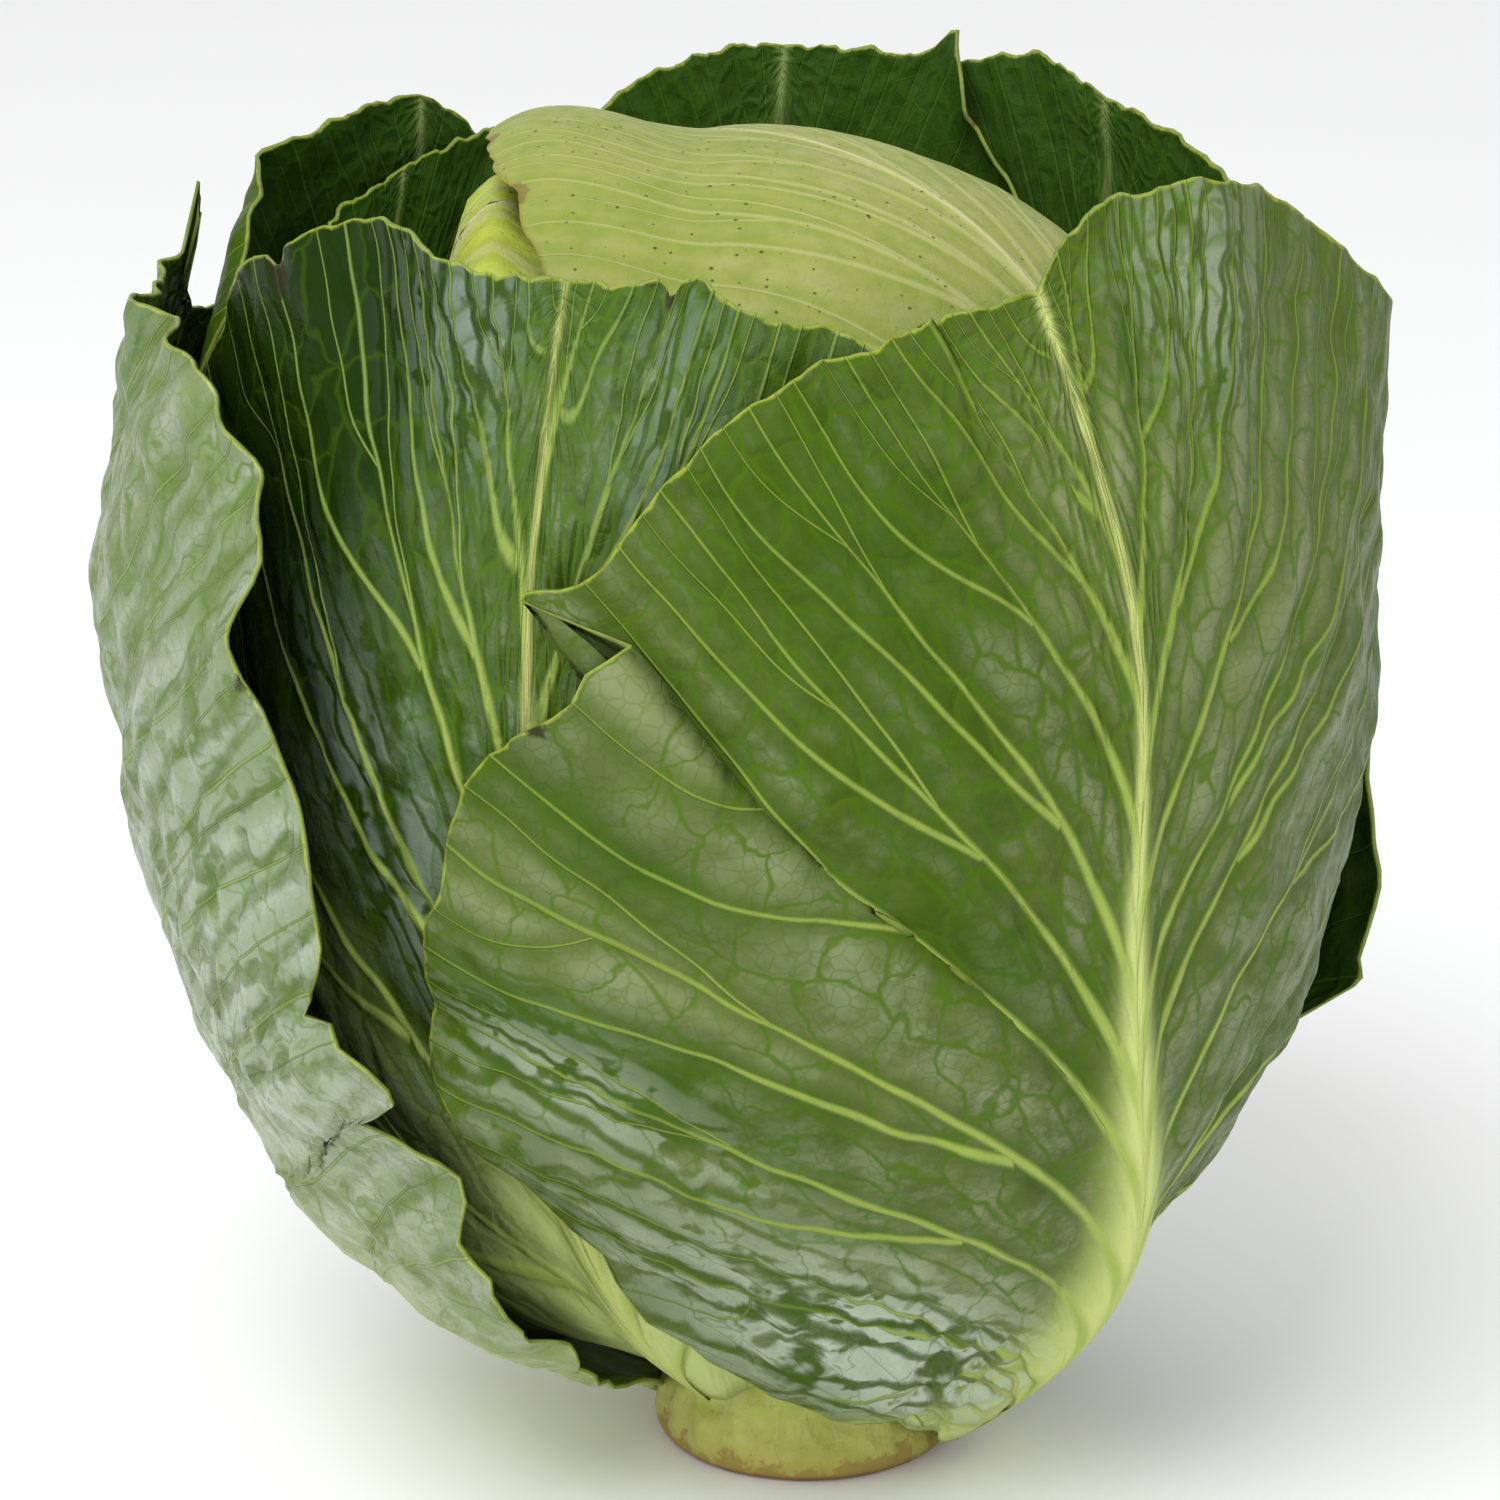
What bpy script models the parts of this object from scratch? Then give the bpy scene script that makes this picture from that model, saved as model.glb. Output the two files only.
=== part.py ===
"""A round head cabbage with its loose wrapper leaves, standing on its cut stump.

The origin is the centre of the stump's cut face, +Z runs up through the head, and -Y is the front.
A leaf is a smooth surface through five guides (left margin, left half, midrib, right half, right
margin), each read at six stations from stump to tip. A station is (azimuth in degrees, distance
from the head's axis in mm, height in mm). Azimuth 0 is the front, and it grows towards +X.
Left and right are those of someone who looks at the leaf's outer face.
"""
import math

import bmesh
import bpy
import numpy as np

# Driving dimensions, in metres
mm = 0.001
stump_radius = 29.5 * mm
stump_height = 75.0 * mm
stump_top_radius = 17.0 * mm
cut_edge_round = 1.5 * mm
head_centre_height = 172.0 * mm
head_radius = 85.3 * mm
head_half_height = 88.8 * mm
head_squareness = 2.4          # 2 is an ellipsoid, more is a boxier head
blade_thickness = 1.2 * mm
margin_thickness = 0.8 * mm
vein_height = 1.8 * mm
head_vein_height = 0.6 * mm
fold_height = 1.8 * mm         # how far a leaf's edge stands on the tight core
vein_spacing = 3               # every third line of a leaf's mesh is a vein's crest
vein_flank = 0.6               # less than 1 draws the lines beside a crest closer to it

# Fractions of a leaf's length
midrib_reach = 0.93
outline_squareness = (5.0, 5.0)  # of the left and right half: 2 is an oval leaf, more a squarer one
vein_crowding = 1.2            # more than 1 crowds the side veins' roots towards the stump
vein_sweep = 1.3
vein_rise = 0.9

# Each wrapper leaf: three to five guides, the midrib's half width and height at the stump in mm,
# the margin's waves (height in mm, count, phase), its bumps (place along the margin, width, mm)
# and its pleats (place along the margin, width, mm that the lower side stands out)
wrapper_leaves = {
    "leaf_front_right": {
        "rows": 27, "columns": 8, "rib": (13.0, 7.5),
        "left_edge": [(20, 30, 13), (-16, 57, 38), (-38, 97, 90),
                      (-42, 112, 128), (-38, 117, 172), (-28, 118, 222)],
        "midrib": [(66, 30, 12), (57, 63, 41), (38, 97, 97),
                   (31, 112, 152), (28.5, 117, 206), (20, 108, 268)],
        "right_half": [(88, 30, 12), (77, 59, 38), (72, 93, 92),
                       (72, 108, 146), (70, 112, 205), (54, 110, 279)],
        "right_edge": [(110, 30, 12), (103, 58, 36), (112, 94, 82),
                       (116, 109, 132), (114, 113, 190), (104, 110, 237)],
        "wave_left": (1.8, 7, 0.4), "wave_right": (2.0, 5, 0.2), "squareness": (3.4, 5.0),
        "bumps_left": [(0.545, 0.03, 6), (0.50, 0.025, -7), (0.40, 0.05, 4), (0.36, 0.025, -3)],
        "pleats_left": [(0.505, 0.16, 9)],
    },
    "leaf_front_left": {
        "rows": 24, "columns": 7, "rib": (12.0, 7.0),
        "left_edge": [(-69, 29, 24), (-72, 60, 44), (-80, 94, 90),
                      (-86, 110, 140), (-86, 117, 200), (-84, 119, 251)],
        "left_half": [(-54, 29, 24), (-54, 59, 46), (-56, 90, 90),
                      (-58, 107, 140), (-57, 114, 200), (-52, 112, 268)],
        "midrib": [(-38, 29, 24), (-36, 58, 48), (-32, 86, 90),
                   (-29, 103, 140), (-27, 111, 202), (-24, 106, 268)],
        "right_edge": [(-8, 29, 24), (8, 55, 48), (28, 84, 92),
                       (36, 102, 140), (32, 108, 200), (22, 103, 256)],
        "wave_left": (2.0, 5, 0.0), "wave_right": (1.6, 6, 0.6),
        "bumps_left": [(0.74, 0.06, 3), (0.86, 0.05, -3)],
        "bumps_right": [(0.84, 0.05, 4), (0.74, 0.06, -5)],
    },
    "leaf_left_outer": {
        "rows": 27, "columns": 7, "rib": (13.0, 7.0),
        "left_edge": [(-137, 30, 14), (-150, 80, 38), (-160, 108, 84),
                      (-164, 124, 136), (-163, 130, 184), (-156, 128, 220)],
        "midrib": [(-105, 30, 14), (-104, 86, 35), (-104, 118, 82), (-104, 133, 134), (-104, 137.5, 190),
                   (-108, 127, 240)],
        "right_edge": [(-73, 30, 14), (-46, 70, 36), (-44, 108, 84),
                       (-43, 127, 134), (-43, 134, 190), (-42, 126, 252)],
        "wave_left": (2.5, 6, 0.2), "wave_right": (2.5, 7, 0.0),
        "bumps_left": [(0.88, 0.05, 8), (0.6, 0.08, -5)],
        "bumps_right": [(0.22, 0.04, -4), (0.29, 0.035, 11), (0.38, 0.04, 4), (0.45, 0.05, -8),
                        (0.54, 0.05, 5)],
        "pleats_right": [(0.30, 0.10, 6)],
    },
    "leaf_back_left": {
        "rows": 18, "columns": 6, "rib": (11.0, 6.0),
        "left_edge": [(-188, 28.9, 27), (-194, 64, 46), (-191, 97, 92),
                      (-185, 116, 142), (-178, 120, 198), (-170, 117, 240)],
        "midrib": [(-160, 28.9, 27), (-152, 66, 42), (-145, 101, 88), (-140, 117, 140), (-137, 120, 205),
                   (-136, 115, 263)],
        "right_edge": [(-132, 28.9, 27), (-112, 68, 46), (-102, 104, 92),
                       (-99, 119, 140), (-99, 121, 200), (-103, 117, 252)],
        "wave_left": (3.0, 4, 0.1), "wave_right": (2.5, 4, 0.5),
        "bumps_left": [(0.80, 0.08, 5)],
    },
    "leaf_back_left_inner": {
        "rows": 18, "columns": 6, "rib": (10.0, 5.0),
        "left_edge": [(-128, 23.5, 50), (-140, 53, 70), (-153, 81, 105),
                      (-159, 98, 150), (-160, 102, 205), (-160, 101, 266)],
        "midrib": [(-100, 23.5, 49), (-108, 55, 67), (-118, 86, 101), (-122, 102, 147), (-124, 106, 200),
                   (-128, 105, 252)],
        "right_edge": [(-72, 23.5, 49), (-72, 52, 68), (-80, 82, 102),
                       (-86, 100, 147), (-90, 106, 192), (-98, 108, 234)],
        "wave_left": (1.0, 4, 0.3), "wave_right": (1.2, 4, 0.0),
    },
    "leaf_back_centre": {
        "rows": 18, "columns": 6, "rib": (10.0, 5.0),
        "left_edge": [(154, 25.4, 42), (147, 55, 61), (145, 86, 101),
                      (146, 102, 150), (146, 107, 205), (146, 109, 262)],
        "midrib": [(180, 25.4, 41), (181, 58, 59), (183, 91, 99), (184, 107, 148), (184, 113, 205),
                   (182, 112, 271)],
        "right_edge": [(206, 25.4, 42), (212, 57, 61), (214, 89, 101),
                       (214, 107, 150), (214, 111, 205), (216, 112, 256)],
        "wave_left": (1.0, 4, 0.1), "wave_right": (1.0, 4, 0.4),
        "bumps_left": [(0.72, 0.03, 10), (0.62, 0.06, -4)],
    },
    "leaf_back_right": {
        "rows": 18, "columns": 6, "rib": (10.0, 5.5),
        "left_edge": [(97, 25.2, 38), (92, 54, 56), (92, 83, 98),
                      (93, 101, 148), (98, 106, 205), (110, 107, 252)],
        "midrib": [(125, 25.2, 37), (132, 58, 53), (140, 91, 94), (144, 110, 146), (146, 117, 205),
                   (147, 116, 267)],
        "right_edge": [(151, 25.2, 38), (164, 60, 54), (171, 94, 96),
                       (172, 112, 148), (172, 117, 205), (174, 116, 262)],
        "wave_left": (1.5, 4, 0.2), "wave_right": (1.0, 4, 0.0),
    },
    "leaf_right_outer": {
        "rows": 18, "columns": 6, "rib": (12.0, 7.0),
        "left_edge": [(122, 30, 14), (113, 72, 31), (106, 114, 80),
                      (106, 120, 128), (111, 124, 180), (122, 122, 228)],
        "midrib": [(150, 30, 13), (150, 74, 30), (150, 107, 78), (151, 123, 132), (152, 127, 185),
                   (152, 122, 240)],
        "right_edge": [(178, 30, 14), (188, 74, 34), (190, 105, 80),
                       (190, 121, 132), (189, 126, 182), (186, 122, 230)],
        "wave_left": (3.0, 4, 0.0), "wave_right": (3.0, 4, 0.2),
        "bumps_left": [(0.30, 0.05, 6)],
    },
}
margin_growth = (1 / 110, 1 / 300)  # share of a leaf's half width and length that a millimetre adds

# Each head leaf wraps the core along a great circle: the azimuth that its midrib rises from, its
# angles from straight down at both ends, its half width in degrees, its layer counted outwards,
# and how far its left margin stands off in mm
head_leaves = {
    "heart_leaf_back": {
        "azimuth": 165, "span": (24, 205), "half_width": 72, "layer": 1, "stand_off": 0,
    },
    "heart_leaf_left": {
        "azimuth": -75, "span": (24, 208), "half_width": 64, "layer": 2, "stand_off": 0,
    },
    "heart_leaf_cap": {
        "azimuth": 49, "span": (26, 216), "half_width": 62, "layer": 3, "stand_off": 13,
    },
}
layer_gap = 2.2 * mm
head_leaf_grid = (6, 18)       # columns on each side of the midrib, and rows
head_leaf_rib = (7.0, 0.9)     # half width and height in mm
foot_width = 0.3               # width at a head leaf's foot, as a share of its full width

# The tight core: its mesh, and the leaf edges that wind up it
core_grid = (36, 20)
core_edges = 3
core_twist = 0.6               # turns of an edge from the core's waist to its top

# The stump's turned profile above the cut, in mm: radius, height. Each shoulder carries a leaf's base
stump_shoulders = [(19, 62), (22.8, 52), (23, 42), (24.6, 40), (25, 30), (28.3, 26), (28.6, 17)]
stump_sides = 28

# Colours: base colour and roughness
finishes = {
    "outer leaf": ((0.12, 0.24, 0.06), 0.42),
    "heart leaf": ((0.48, 0.56, 0.20), 0.50),
    "cut stump": ((0.62, 0.60, 0.30), 0.60),
}


def clear_scene():
    for item in list(bpy.data.objects):
        bpy.data.objects.remove(item, do_unlink=True)


def make_collection(name):
    collection = bpy.data.collections.new(name)
    bpy.context.scene.collection.children.link(collection)
    return collection


def make_material(name):
    colour, roughness = finishes[name]
    material = bpy.data.materials.new(name)
    material.use_nodes = True
    shader = material.node_tree.nodes["Principled BSDF"]
    shader.inputs["Base Color"].default_value = (*colour, 1.0)
    shader.inputs["Roughness"].default_value = roughness
    shader.inputs["Metallic"].default_value = 0.0
    return material


def spline_weights(count, places):
    """Weights of a natural cubic spline's evenly spaced points, at places from 0 to 1."""
    second = np.zeros((count, count))
    bends = 4 * np.eye(count - 2) + np.eye(count - 2, k=1) + np.eye(count - 2, k=-1)
    points = np.eye(count)
    second[1:-1] = np.linalg.solve(bends, 6 * (points[:-2] - 2 * points[1:-1] + points[2:]))
    scaled = np.asarray(places) * (count - 1)
    first = np.clip(scaled.astype(int), 0, count - 2)
    along = (scaled - first)[:, None]
    back = 1 - along
    straight = back * points[first] + along * points[first + 1]
    bend = (back ** 3 - back) * second[first] + (along ** 3 - along) * second[first + 1]
    return straight + bend / 6


def half_way(edge, midrib):
    return [tuple((a + b) / 2 for a, b in zip(one, other)) for one, other in zip(edge, midrib)]


def leaf_guides(leaf):
    """The five guides as an array of guides by stations by (azimuth, radius, height)."""
    left, middle, right = leaf["left_edge"], leaf["midrib"], leaf["right_edge"]
    left_half = leaf.get("left_half", half_way(left, middle))
    right_half = leaf.get("right_half", half_way(right, middle))
    return np.array([left, left_half, middle, right_half, right], dtype=float)


def surface_points(guides, across, along):
    """Points of the leaf's surface, across from -1 to 1 and along from 0 to 1."""
    cross = spline_weights(guides.shape[0], (across + 1) / 2)
    length = spline_weights(guides.shape[1], along)
    azimuth, radius, height = np.einsum("ni,nj,ijc->cn", cross, length, guides)
    turn = np.radians(azimuth)
    return np.column_stack((radius * np.sin(turn), -radius * np.cos(turn), height)) * mm


def feather(across, order, growth=0.0, squareness=outline_squareness):
    """Turn a grid (across -1..1, order 0..1) into lines that run from midrib to margin like veins."""
    out = np.abs(across)
    turn = order * math.pi / 2
    power = np.where(across < 0, *squareness)
    reach = (np.cos(turn) ** power + np.sin(turn) ** power) ** (-1 / power)
    end_across = np.sign(across) * np.cos(turn) * (reach + growth * margin_growth[0])
    end_along = np.sin(turn) * (reach + growth * margin_growth[1])
    start_along = midrib_reach * order ** vein_crowding
    return end_across * out ** vein_sweep, start_along + (end_along - start_along) * out ** vein_rise


def smooth_step(value, low, high):
    share = np.clip((value - low) / (high - low), 0, 1)
    return share * share * (3 - 2 * share)


def tip_fade(order):
    """Takes what differs between the leaf's halves to nothing at the tip, where they join."""
    return smooth_step(1 - order, 0, 0.06)


def margin_bumps(leaf, side, order):
    """How far the margin reaches past the plain outline, in mm."""
    total = np.zeros_like(order)
    for name, sign in (("bumps_left", -1), ("bumps_right", 1)):
        for place, width, height in leaf.get(name, []):
            total += (side == sign) * height * np.exp(-((order - place) / width) ** 2)
    return total * tip_fade(order)


def pleat_lift(leaf, out, side, order):
    """Folds that run in from the margin: below each one the blade stands out, in metres."""
    lift = np.zeros_like(order)
    for name, sign in (("pleats_left", -1), ("pleats_right", 1)):
        for place, width, height in leaf.get(name, []):
            below = np.clip((place - order) / width, 0, 1)
            shape = smooth_step(below, 0, 0.3) * (1 - below) ** 2 * smooth_step(out, 0.35, 1.0)
            lift += (side == sign) * height * mm * shape
    return lift


def surface_normals(point_at, across, along):
    """Outward normals, from small steps both ways."""
    step = 1e-3
    over = point_at(across + step, along) - point_at(across - step, along)
    up = point_at(across, along + step) - point_at(across, along - step)
    normals = np.cross(over, up)
    return normals / np.linalg.norm(normals, axis=1)[:, None]


def wave_lift(leaf, out, side, order):
    """Waves along the margin that fade towards the midrib, in metres."""
    lift = np.zeros_like(order)
    for name, sign in (("wave_left", -1), ("wave_right", 1)):
        height, count, phase = leaf[name]
        wave = height * mm * np.sin(2 * math.pi * (count * order + phase))
        lift += (side == sign) * wave
    return lift * smooth_step(out, 0.55, 1.0) * smooth_step(order, 0.02, 0.2) * tip_fade(order)


def leaf_thickness(distance, out, along, line, rib, side_vein=vein_height):
    """The blade, with its midrib and its raised side veins, in metres."""
    half_width, height = rib
    along = np.clip(along, 0, 1)
    taper = 1 - 0.8 * along
    across_rib = np.clip(distance / (half_width * mm * taper), 0, 1)
    ridge = height * mm * (1 - along) ** 1.4 * (1 - across_rib ** 2) ** 2
    on_vein = (out == 0) | ((line % vein_spacing == 0) & (line > 0) & (line < line.max()))
    vein = np.where(on_vein, side_vein * (1 - 0.8 * out) * (1 - 0.6 * along), 0)
    vein *= np.where(out == 0, 1 - smooth_step(along, 0.5, 0.85), 1)
    blade = blade_thickness + (margin_thickness - blade_thickness) * smooth_step(out, 0.8, 1.0)
    return blade + np.maximum(ridge, vein)


def grid_mesh(columns, rows, flank=1.0):
    """A flat grid of twice the columns, with each vertex's place across, its order and its line."""
    bm = bmesh.new()
    bmesh.ops.create_grid(bm, x_segments=2 * columns, y_segments=rows, size=1.0)
    places = np.array([vertex.co[:2] for vertex in bm.verts])
    line = np.rint((places[:, 1] + 1) / 2 * rows)
    crest = np.rint(line / vein_spacing) * vein_spacing
    return bm, np.round(places[:, 0], 6), (crest + (line - crest) * flank) / rows, line.astype(int)


def finish_blade(bm, name, points, thickness, material, collection):
    """Move the grid's vertices to the leaf and give it its thickness on the outer side."""
    thickest = thickness.max()
    deform = bm.verts.layers.deform.verify()
    for vertex, place, depth in zip(bm.verts, points, thickness):
        vertex.co = place
        vertex[deform][0] = depth / thickest
    bmesh.ops.remove_doubles(bm, verts=bm.verts, dist=0.01 * mm)
    bmesh.ops.triangulate(bm, faces=bm.faces, quad_method="BEAUTY")
    mesh = bpy.data.meshes.new(name)
    bm.to_mesh(mesh)
    bm.free()
    mesh.materials.append(material)
    blade = bpy.data.objects.new(name, mesh)
    blade.vertex_groups.new(name="thickness")
    collection.objects.link(blade)
    shell = blade.modifiers.new("thickness", "SOLIDIFY")
    shell.thickness = thickest
    shell.offset = 1.0
    shell.vertex_group = "thickness"
    shell.thickness_vertex_group = 0.0
    shell.use_even_offset = False
    mesh.shade_smooth()
    return blade


def make_wrapper_leaf(name, leaf, material, collection):
    guides = leaf_guides(leaf)
    bm, grid_across, order, line = grid_mesh(leaf["columns"], leaf["rows"], vein_flank)
    out, side = np.abs(grid_across), np.sign(grid_across)
    growth = margin_bumps(leaf, side, order)
    across, along = feather(grid_across, order, growth, leaf.get("squareness", outline_squareness))

    def point_at(u, v):
        return surface_points(guides, u, v)

    points = point_at(across, along)
    normals = surface_normals(point_at, across, along)
    lift = wave_lift(leaf, out, side, order) + pleat_lift(leaf, out, side, order)
    points += normals * lift[:, None]
    distance = np.linalg.norm(points - point_at(np.zeros_like(across), along), axis=1)
    thickness = leaf_thickness(distance, out, along, line, leaf["rib"])
    return finish_blade(bm, name, points, thickness, material, collection)


def head_distance(directions):
    """Distance from the head's centre to its surface along each direction."""
    flat = np.hypot(directions[:, 0], directions[:, 1]) / head_radius
    tall = np.abs(directions[:, 2]) / head_half_height
    return (flat ** head_squareness + tall ** head_squareness) ** (-1 / head_squareness)


def make_head_leaf(name, leaf, material, collection):
    bm, grid_across, order, line = grid_mesh(*head_leaf_grid)
    out = np.abs(grid_across)
    across, along = feather(grid_across, order)
    turn = math.radians(leaf["azimuth"])
    outward = np.array((math.sin(turn), -math.cos(turn), 0.0))
    sideways = np.array((math.cos(turn), math.sin(turn), 0.0))
    offset = leaf["layer"] * (layer_gap + blade_thickness) - blade_thickness

    def point_at(u, v):
        rise = np.radians(leaf["span"][0] + (leaf["span"][1] - leaf["span"][0]) * v)
        opening = foot_width + (1 - foot_width) * smooth_step(v, 0.0, 0.45)
        swing = np.radians(leaf["half_width"]) * u * opening
        ring = np.sin(rise)[:, None] * outward - np.cos(rise)[:, None] * (0, 0, 1)
        directions = np.cos(swing)[:, None] * ring + np.sin(swing)[:, None] * sideways
        loose = leaf["stand_off"] * mm * smooth_step(-u, 0.2, 1.0) * smooth_step(v, 0.5, 0.9)
        distance = head_distance(directions) + offset + loose
        return directions * distance[:, None] + (0, 0, head_centre_height)

    points = point_at(across, along)
    distance = np.linalg.norm(points - point_at(np.zeros_like(across), along), axis=1)
    thickness = leaf_thickness(distance, out, along, line, head_leaf_rib, head_vein_height)
    return finish_blade(bm, name, points, thickness, material, collection)


def make_heart_core(material, collection):
    """The tight inner leaves as one ball, with the edges of the last few winding up it."""
    bm = bmesh.new()
    bmesh.ops.create_uvsphere(bm, u_segments=core_grid[0], v_segments=core_grid[1], radius=1.0)
    directions = np.array([vertex.co.normalized()[:] for vertex in bm.verts])
    turns = np.arctan2(directions[:, 0], -directions[:, 1]) / (2 * math.pi)
    winding = core_edges * turns + core_twist * directions[:, 2]
    upright = 1 - np.abs(directions[:, 2])
    fold = fold_height * (winding % 1) * smooth_step(upright, 0.02, 0.2)
    distance = head_distance(directions) - fold_height + fold
    points = directions * distance[:, None] + (0, 0, head_centre_height)
    for vertex, place in zip(bm.verts, points):
        vertex.co = place
    bmesh.ops.triangulate(bm, faces=bm.faces)
    mesh = bpy.data.meshes.new("heart_core")
    bm.to_mesh(mesh)
    bm.free()
    mesh.materials.append(material)
    mesh.shade_smooth()
    core = bpy.data.objects.new("heart_core", mesh)
    collection.objects.link(core)
    return core


def make_stump(material, collection):
    """A turned stump: flat cut face, rounded cut edge, and a stepped neck up to the head."""
    profile = [
        (0, stump_height),
        (stump_top_radius - 3 * mm, stump_height),
        (stump_top_radius, stump_height - 3 * mm),
    ]
    profile += [(radius * mm, height * mm) for radius, height in stump_shoulders]
    profile += [
        (stump_radius, 14 * mm),
        (stump_radius, cut_edge_round),
        (stump_radius - cut_edge_round, 0),
        (0, 0),
    ]
    bm = bmesh.new()
    corners = [bm.verts.new((radius, 0, height)) for radius, height in profile]
    for upper, lower in zip(corners, corners[1:]):
        bm.edges.new((upper, lower))
    mesh = bpy.data.meshes.new("stump")
    bm.to_mesh(mesh)
    bm.free()
    mesh.materials.append(material)
    stump = bpy.data.objects.new("stump", mesh)
    collection.objects.link(stump)
    turn = stump.modifiers.new("turn", "SCREW")
    turn.axis = "Z"
    turn.steps = stump_sides
    turn.render_steps = stump_sides
    turn.use_merge_vertices = True
    turn.merge_threshold = 0.0001
    turn.use_smooth_shade = True
    return stump


def main():
    clear_scene()
    cabbage = make_collection("head cabbage")
    leaf_green = make_material("outer leaf")
    heart_green = make_material("heart leaf")
    make_stump(make_material("cut stump"), cabbage)
    make_heart_core(heart_green, cabbage)
    for name, leaf in head_leaves.items():
        make_head_leaf(name, leaf, heart_green, cabbage)
    for name, leaf in wrapper_leaves.items():
        make_wrapper_leaf(name, leaf, leaf_green, cabbage)


main()
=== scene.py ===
import math
from types import SimpleNamespace

import bmesh
import bpy
import numpy as np
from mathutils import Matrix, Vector


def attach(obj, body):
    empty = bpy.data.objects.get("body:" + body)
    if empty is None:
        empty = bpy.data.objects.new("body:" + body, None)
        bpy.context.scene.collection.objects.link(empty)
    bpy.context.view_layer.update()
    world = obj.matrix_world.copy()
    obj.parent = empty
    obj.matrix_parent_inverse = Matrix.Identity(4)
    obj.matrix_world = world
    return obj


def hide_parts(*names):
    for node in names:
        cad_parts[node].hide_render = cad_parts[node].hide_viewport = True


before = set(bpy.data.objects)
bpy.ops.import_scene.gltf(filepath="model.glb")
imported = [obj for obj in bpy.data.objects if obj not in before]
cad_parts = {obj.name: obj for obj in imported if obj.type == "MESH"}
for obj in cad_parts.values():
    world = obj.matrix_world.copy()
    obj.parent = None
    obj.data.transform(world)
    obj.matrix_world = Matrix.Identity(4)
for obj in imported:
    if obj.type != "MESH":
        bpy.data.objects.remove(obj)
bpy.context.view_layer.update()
scene = bpy.context.scene
mm = 0.001
print("frame loaded")


# Surfaces. A leaf runs through five guides (margin, half way, midrib, half way, margin), and each
# guide has six stations of (azimuth in degrees from the front, distance from the axis, height).

growthShare = (1 / 110, 1 / 300)   # of a leaf's half width and length, for each mm that a margin grows
guideCount, stationCount = 5, 6

veinFlow = {
    "reach": 0.93,       # how far up the leaf the last side vein leaves the midrib
    "crowding": 1.2,     # over 1 crowds the veins' roots towards the stump
    "sweep": 1.3,        # how long a vein hugs the midrib before it turns out
    "rise": 0.9,
    "squareness": 5.0,   # 2 is an oval leaf
    "wobble": 0.06,      # of the gap between two veins
    # the wobble's waves: radians for each cell, half blade and side, and strength
    "wander": [(2.3, 5, 2, 1.0), (4.1, -9, 3, 0.6)],
    "lean": 0.8,         # under 1 ends a vein further up the margin than its root
}

# ripples of a margin, each with its height in mm, its count along the margin and its phase
marginCrimp = [(0.45, 13.3, 0.2), (0.22, 29.7, 0.7), (0.08, 61.3, 0.1)]   # in the blade
marginFrill = [(0.5, 9.0, 0.3), (0.3, 19.0, 0.6)]                         # across the blade


def smoothStep(value, low, high):
    share = np.clip((value - low) / (high - low), 0, 1)
    return share * share * (3 - 2 * share)


def splineWeights(count, places):
    # How much each of a smooth curve's evenly spaced points counts at the places (0 to 1)
    second = np.zeros((count, count))
    bends = 4 * np.eye(count - 2) + np.eye(count - 2, k=1) + np.eye(count - 2, k=-1)
    points = np.eye(count)
    second[1:-1] = np.linalg.solve(bends, 6 * (points[:-2] - 2 * points[1:-1] + points[2:]))
    scaled = np.asarray(places) * (count - 1)
    first = np.clip(scaled.astype(int), 0, count - 2)
    along = (scaled - first)[:, None]
    back = 1 - along
    straight = back * points[first] + along * points[first + 1]
    return straight + ((back ** 3 - back) * second[first] + (along ** 3 - along) * second[first + 1]) / 6


def guidedSurface(leaf):
    def between(edge):
        return [tuple((a + b) / 2 for a, b in zip(one, other)) for one, other in zip(edge, leaf["midrib"])]

    leftHalf = leaf.get("leftHalf", between(leaf["leftEdge"]))
    rightHalf = leaf.get("rightHalf", between(leaf["rightEdge"]))
    guides = np.array([leaf["leftEdge"], leftHalf, leaf["midrib"], rightHalf, leaf["rightEdge"]], float)

    def pointAt(across, along):
        cross = splineWeights(guideCount, (across + 1) / 2)
        length = splineWeights(stationCount, along)
        azimuth, radius, height = np.einsum("ni,nj,ijc->cn", cross, length, guides)
        turn = np.radians(azimuth)
        return np.column_stack((radius * np.sin(turn), -radius * np.cos(turn), height)) * mm

    return pointAt


def marginPlace(leaf, order):
    return order ** leaf.get("lean", veinFlow["lean"])


def leafLines(leaf, out, order, side, growth):
    # A side vein's way from the midrib to the margin, as places across and along the guides
    turn = marginPlace(leaf, order) * math.pi / 2
    left, right = leaf.get("squareness", (veinFlow["squareness"],) * 2)
    power = np.where(side < 0, left, right)
    reach = (np.cos(turn) ** power + np.sin(turn) ** power) ** (-1 / power)
    endAcross = side * np.cos(turn) * (reach + growth * growthShare[0])
    endAlong = np.sin(turn) * (reach + growth * growthShare[1])
    startAlong = veinFlow["reach"] * order ** veinFlow["crowding"]
    across = endAcross * out ** veinFlow["sweep"]
    return across, startAlong + (endAlong - startAlong) * out ** veinFlow["rise"]


def ripple(places, waves):
    return sum(size * np.sin(2 * math.pi * (count * places + phase)) for size, count, phase in waves)


def eachSide(leaf, name, standard):
    # The leaf's value for its left half, then for its right half, each with the sign of its side
    return ((leaf.get(name + "Left", standard), -1), (leaf.get(name + "Right", standard), 1))


def marginGrowth(leaf, side, place):
    total = np.zeros_like(place)
    for outline, sign in eachSide(leaf, "outline", [(0, 0), (1, 0)]):
        places, growths = zip(*outline)
        total += (side == sign) * np.interp(place, places, growths)
    crimp = ripple(place + 0.31 * side, marginCrimp)
    return total + crimp * smoothStep(place, 0.02, 0.1) * smoothStep(1 - place, 0, 0.06)


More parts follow.
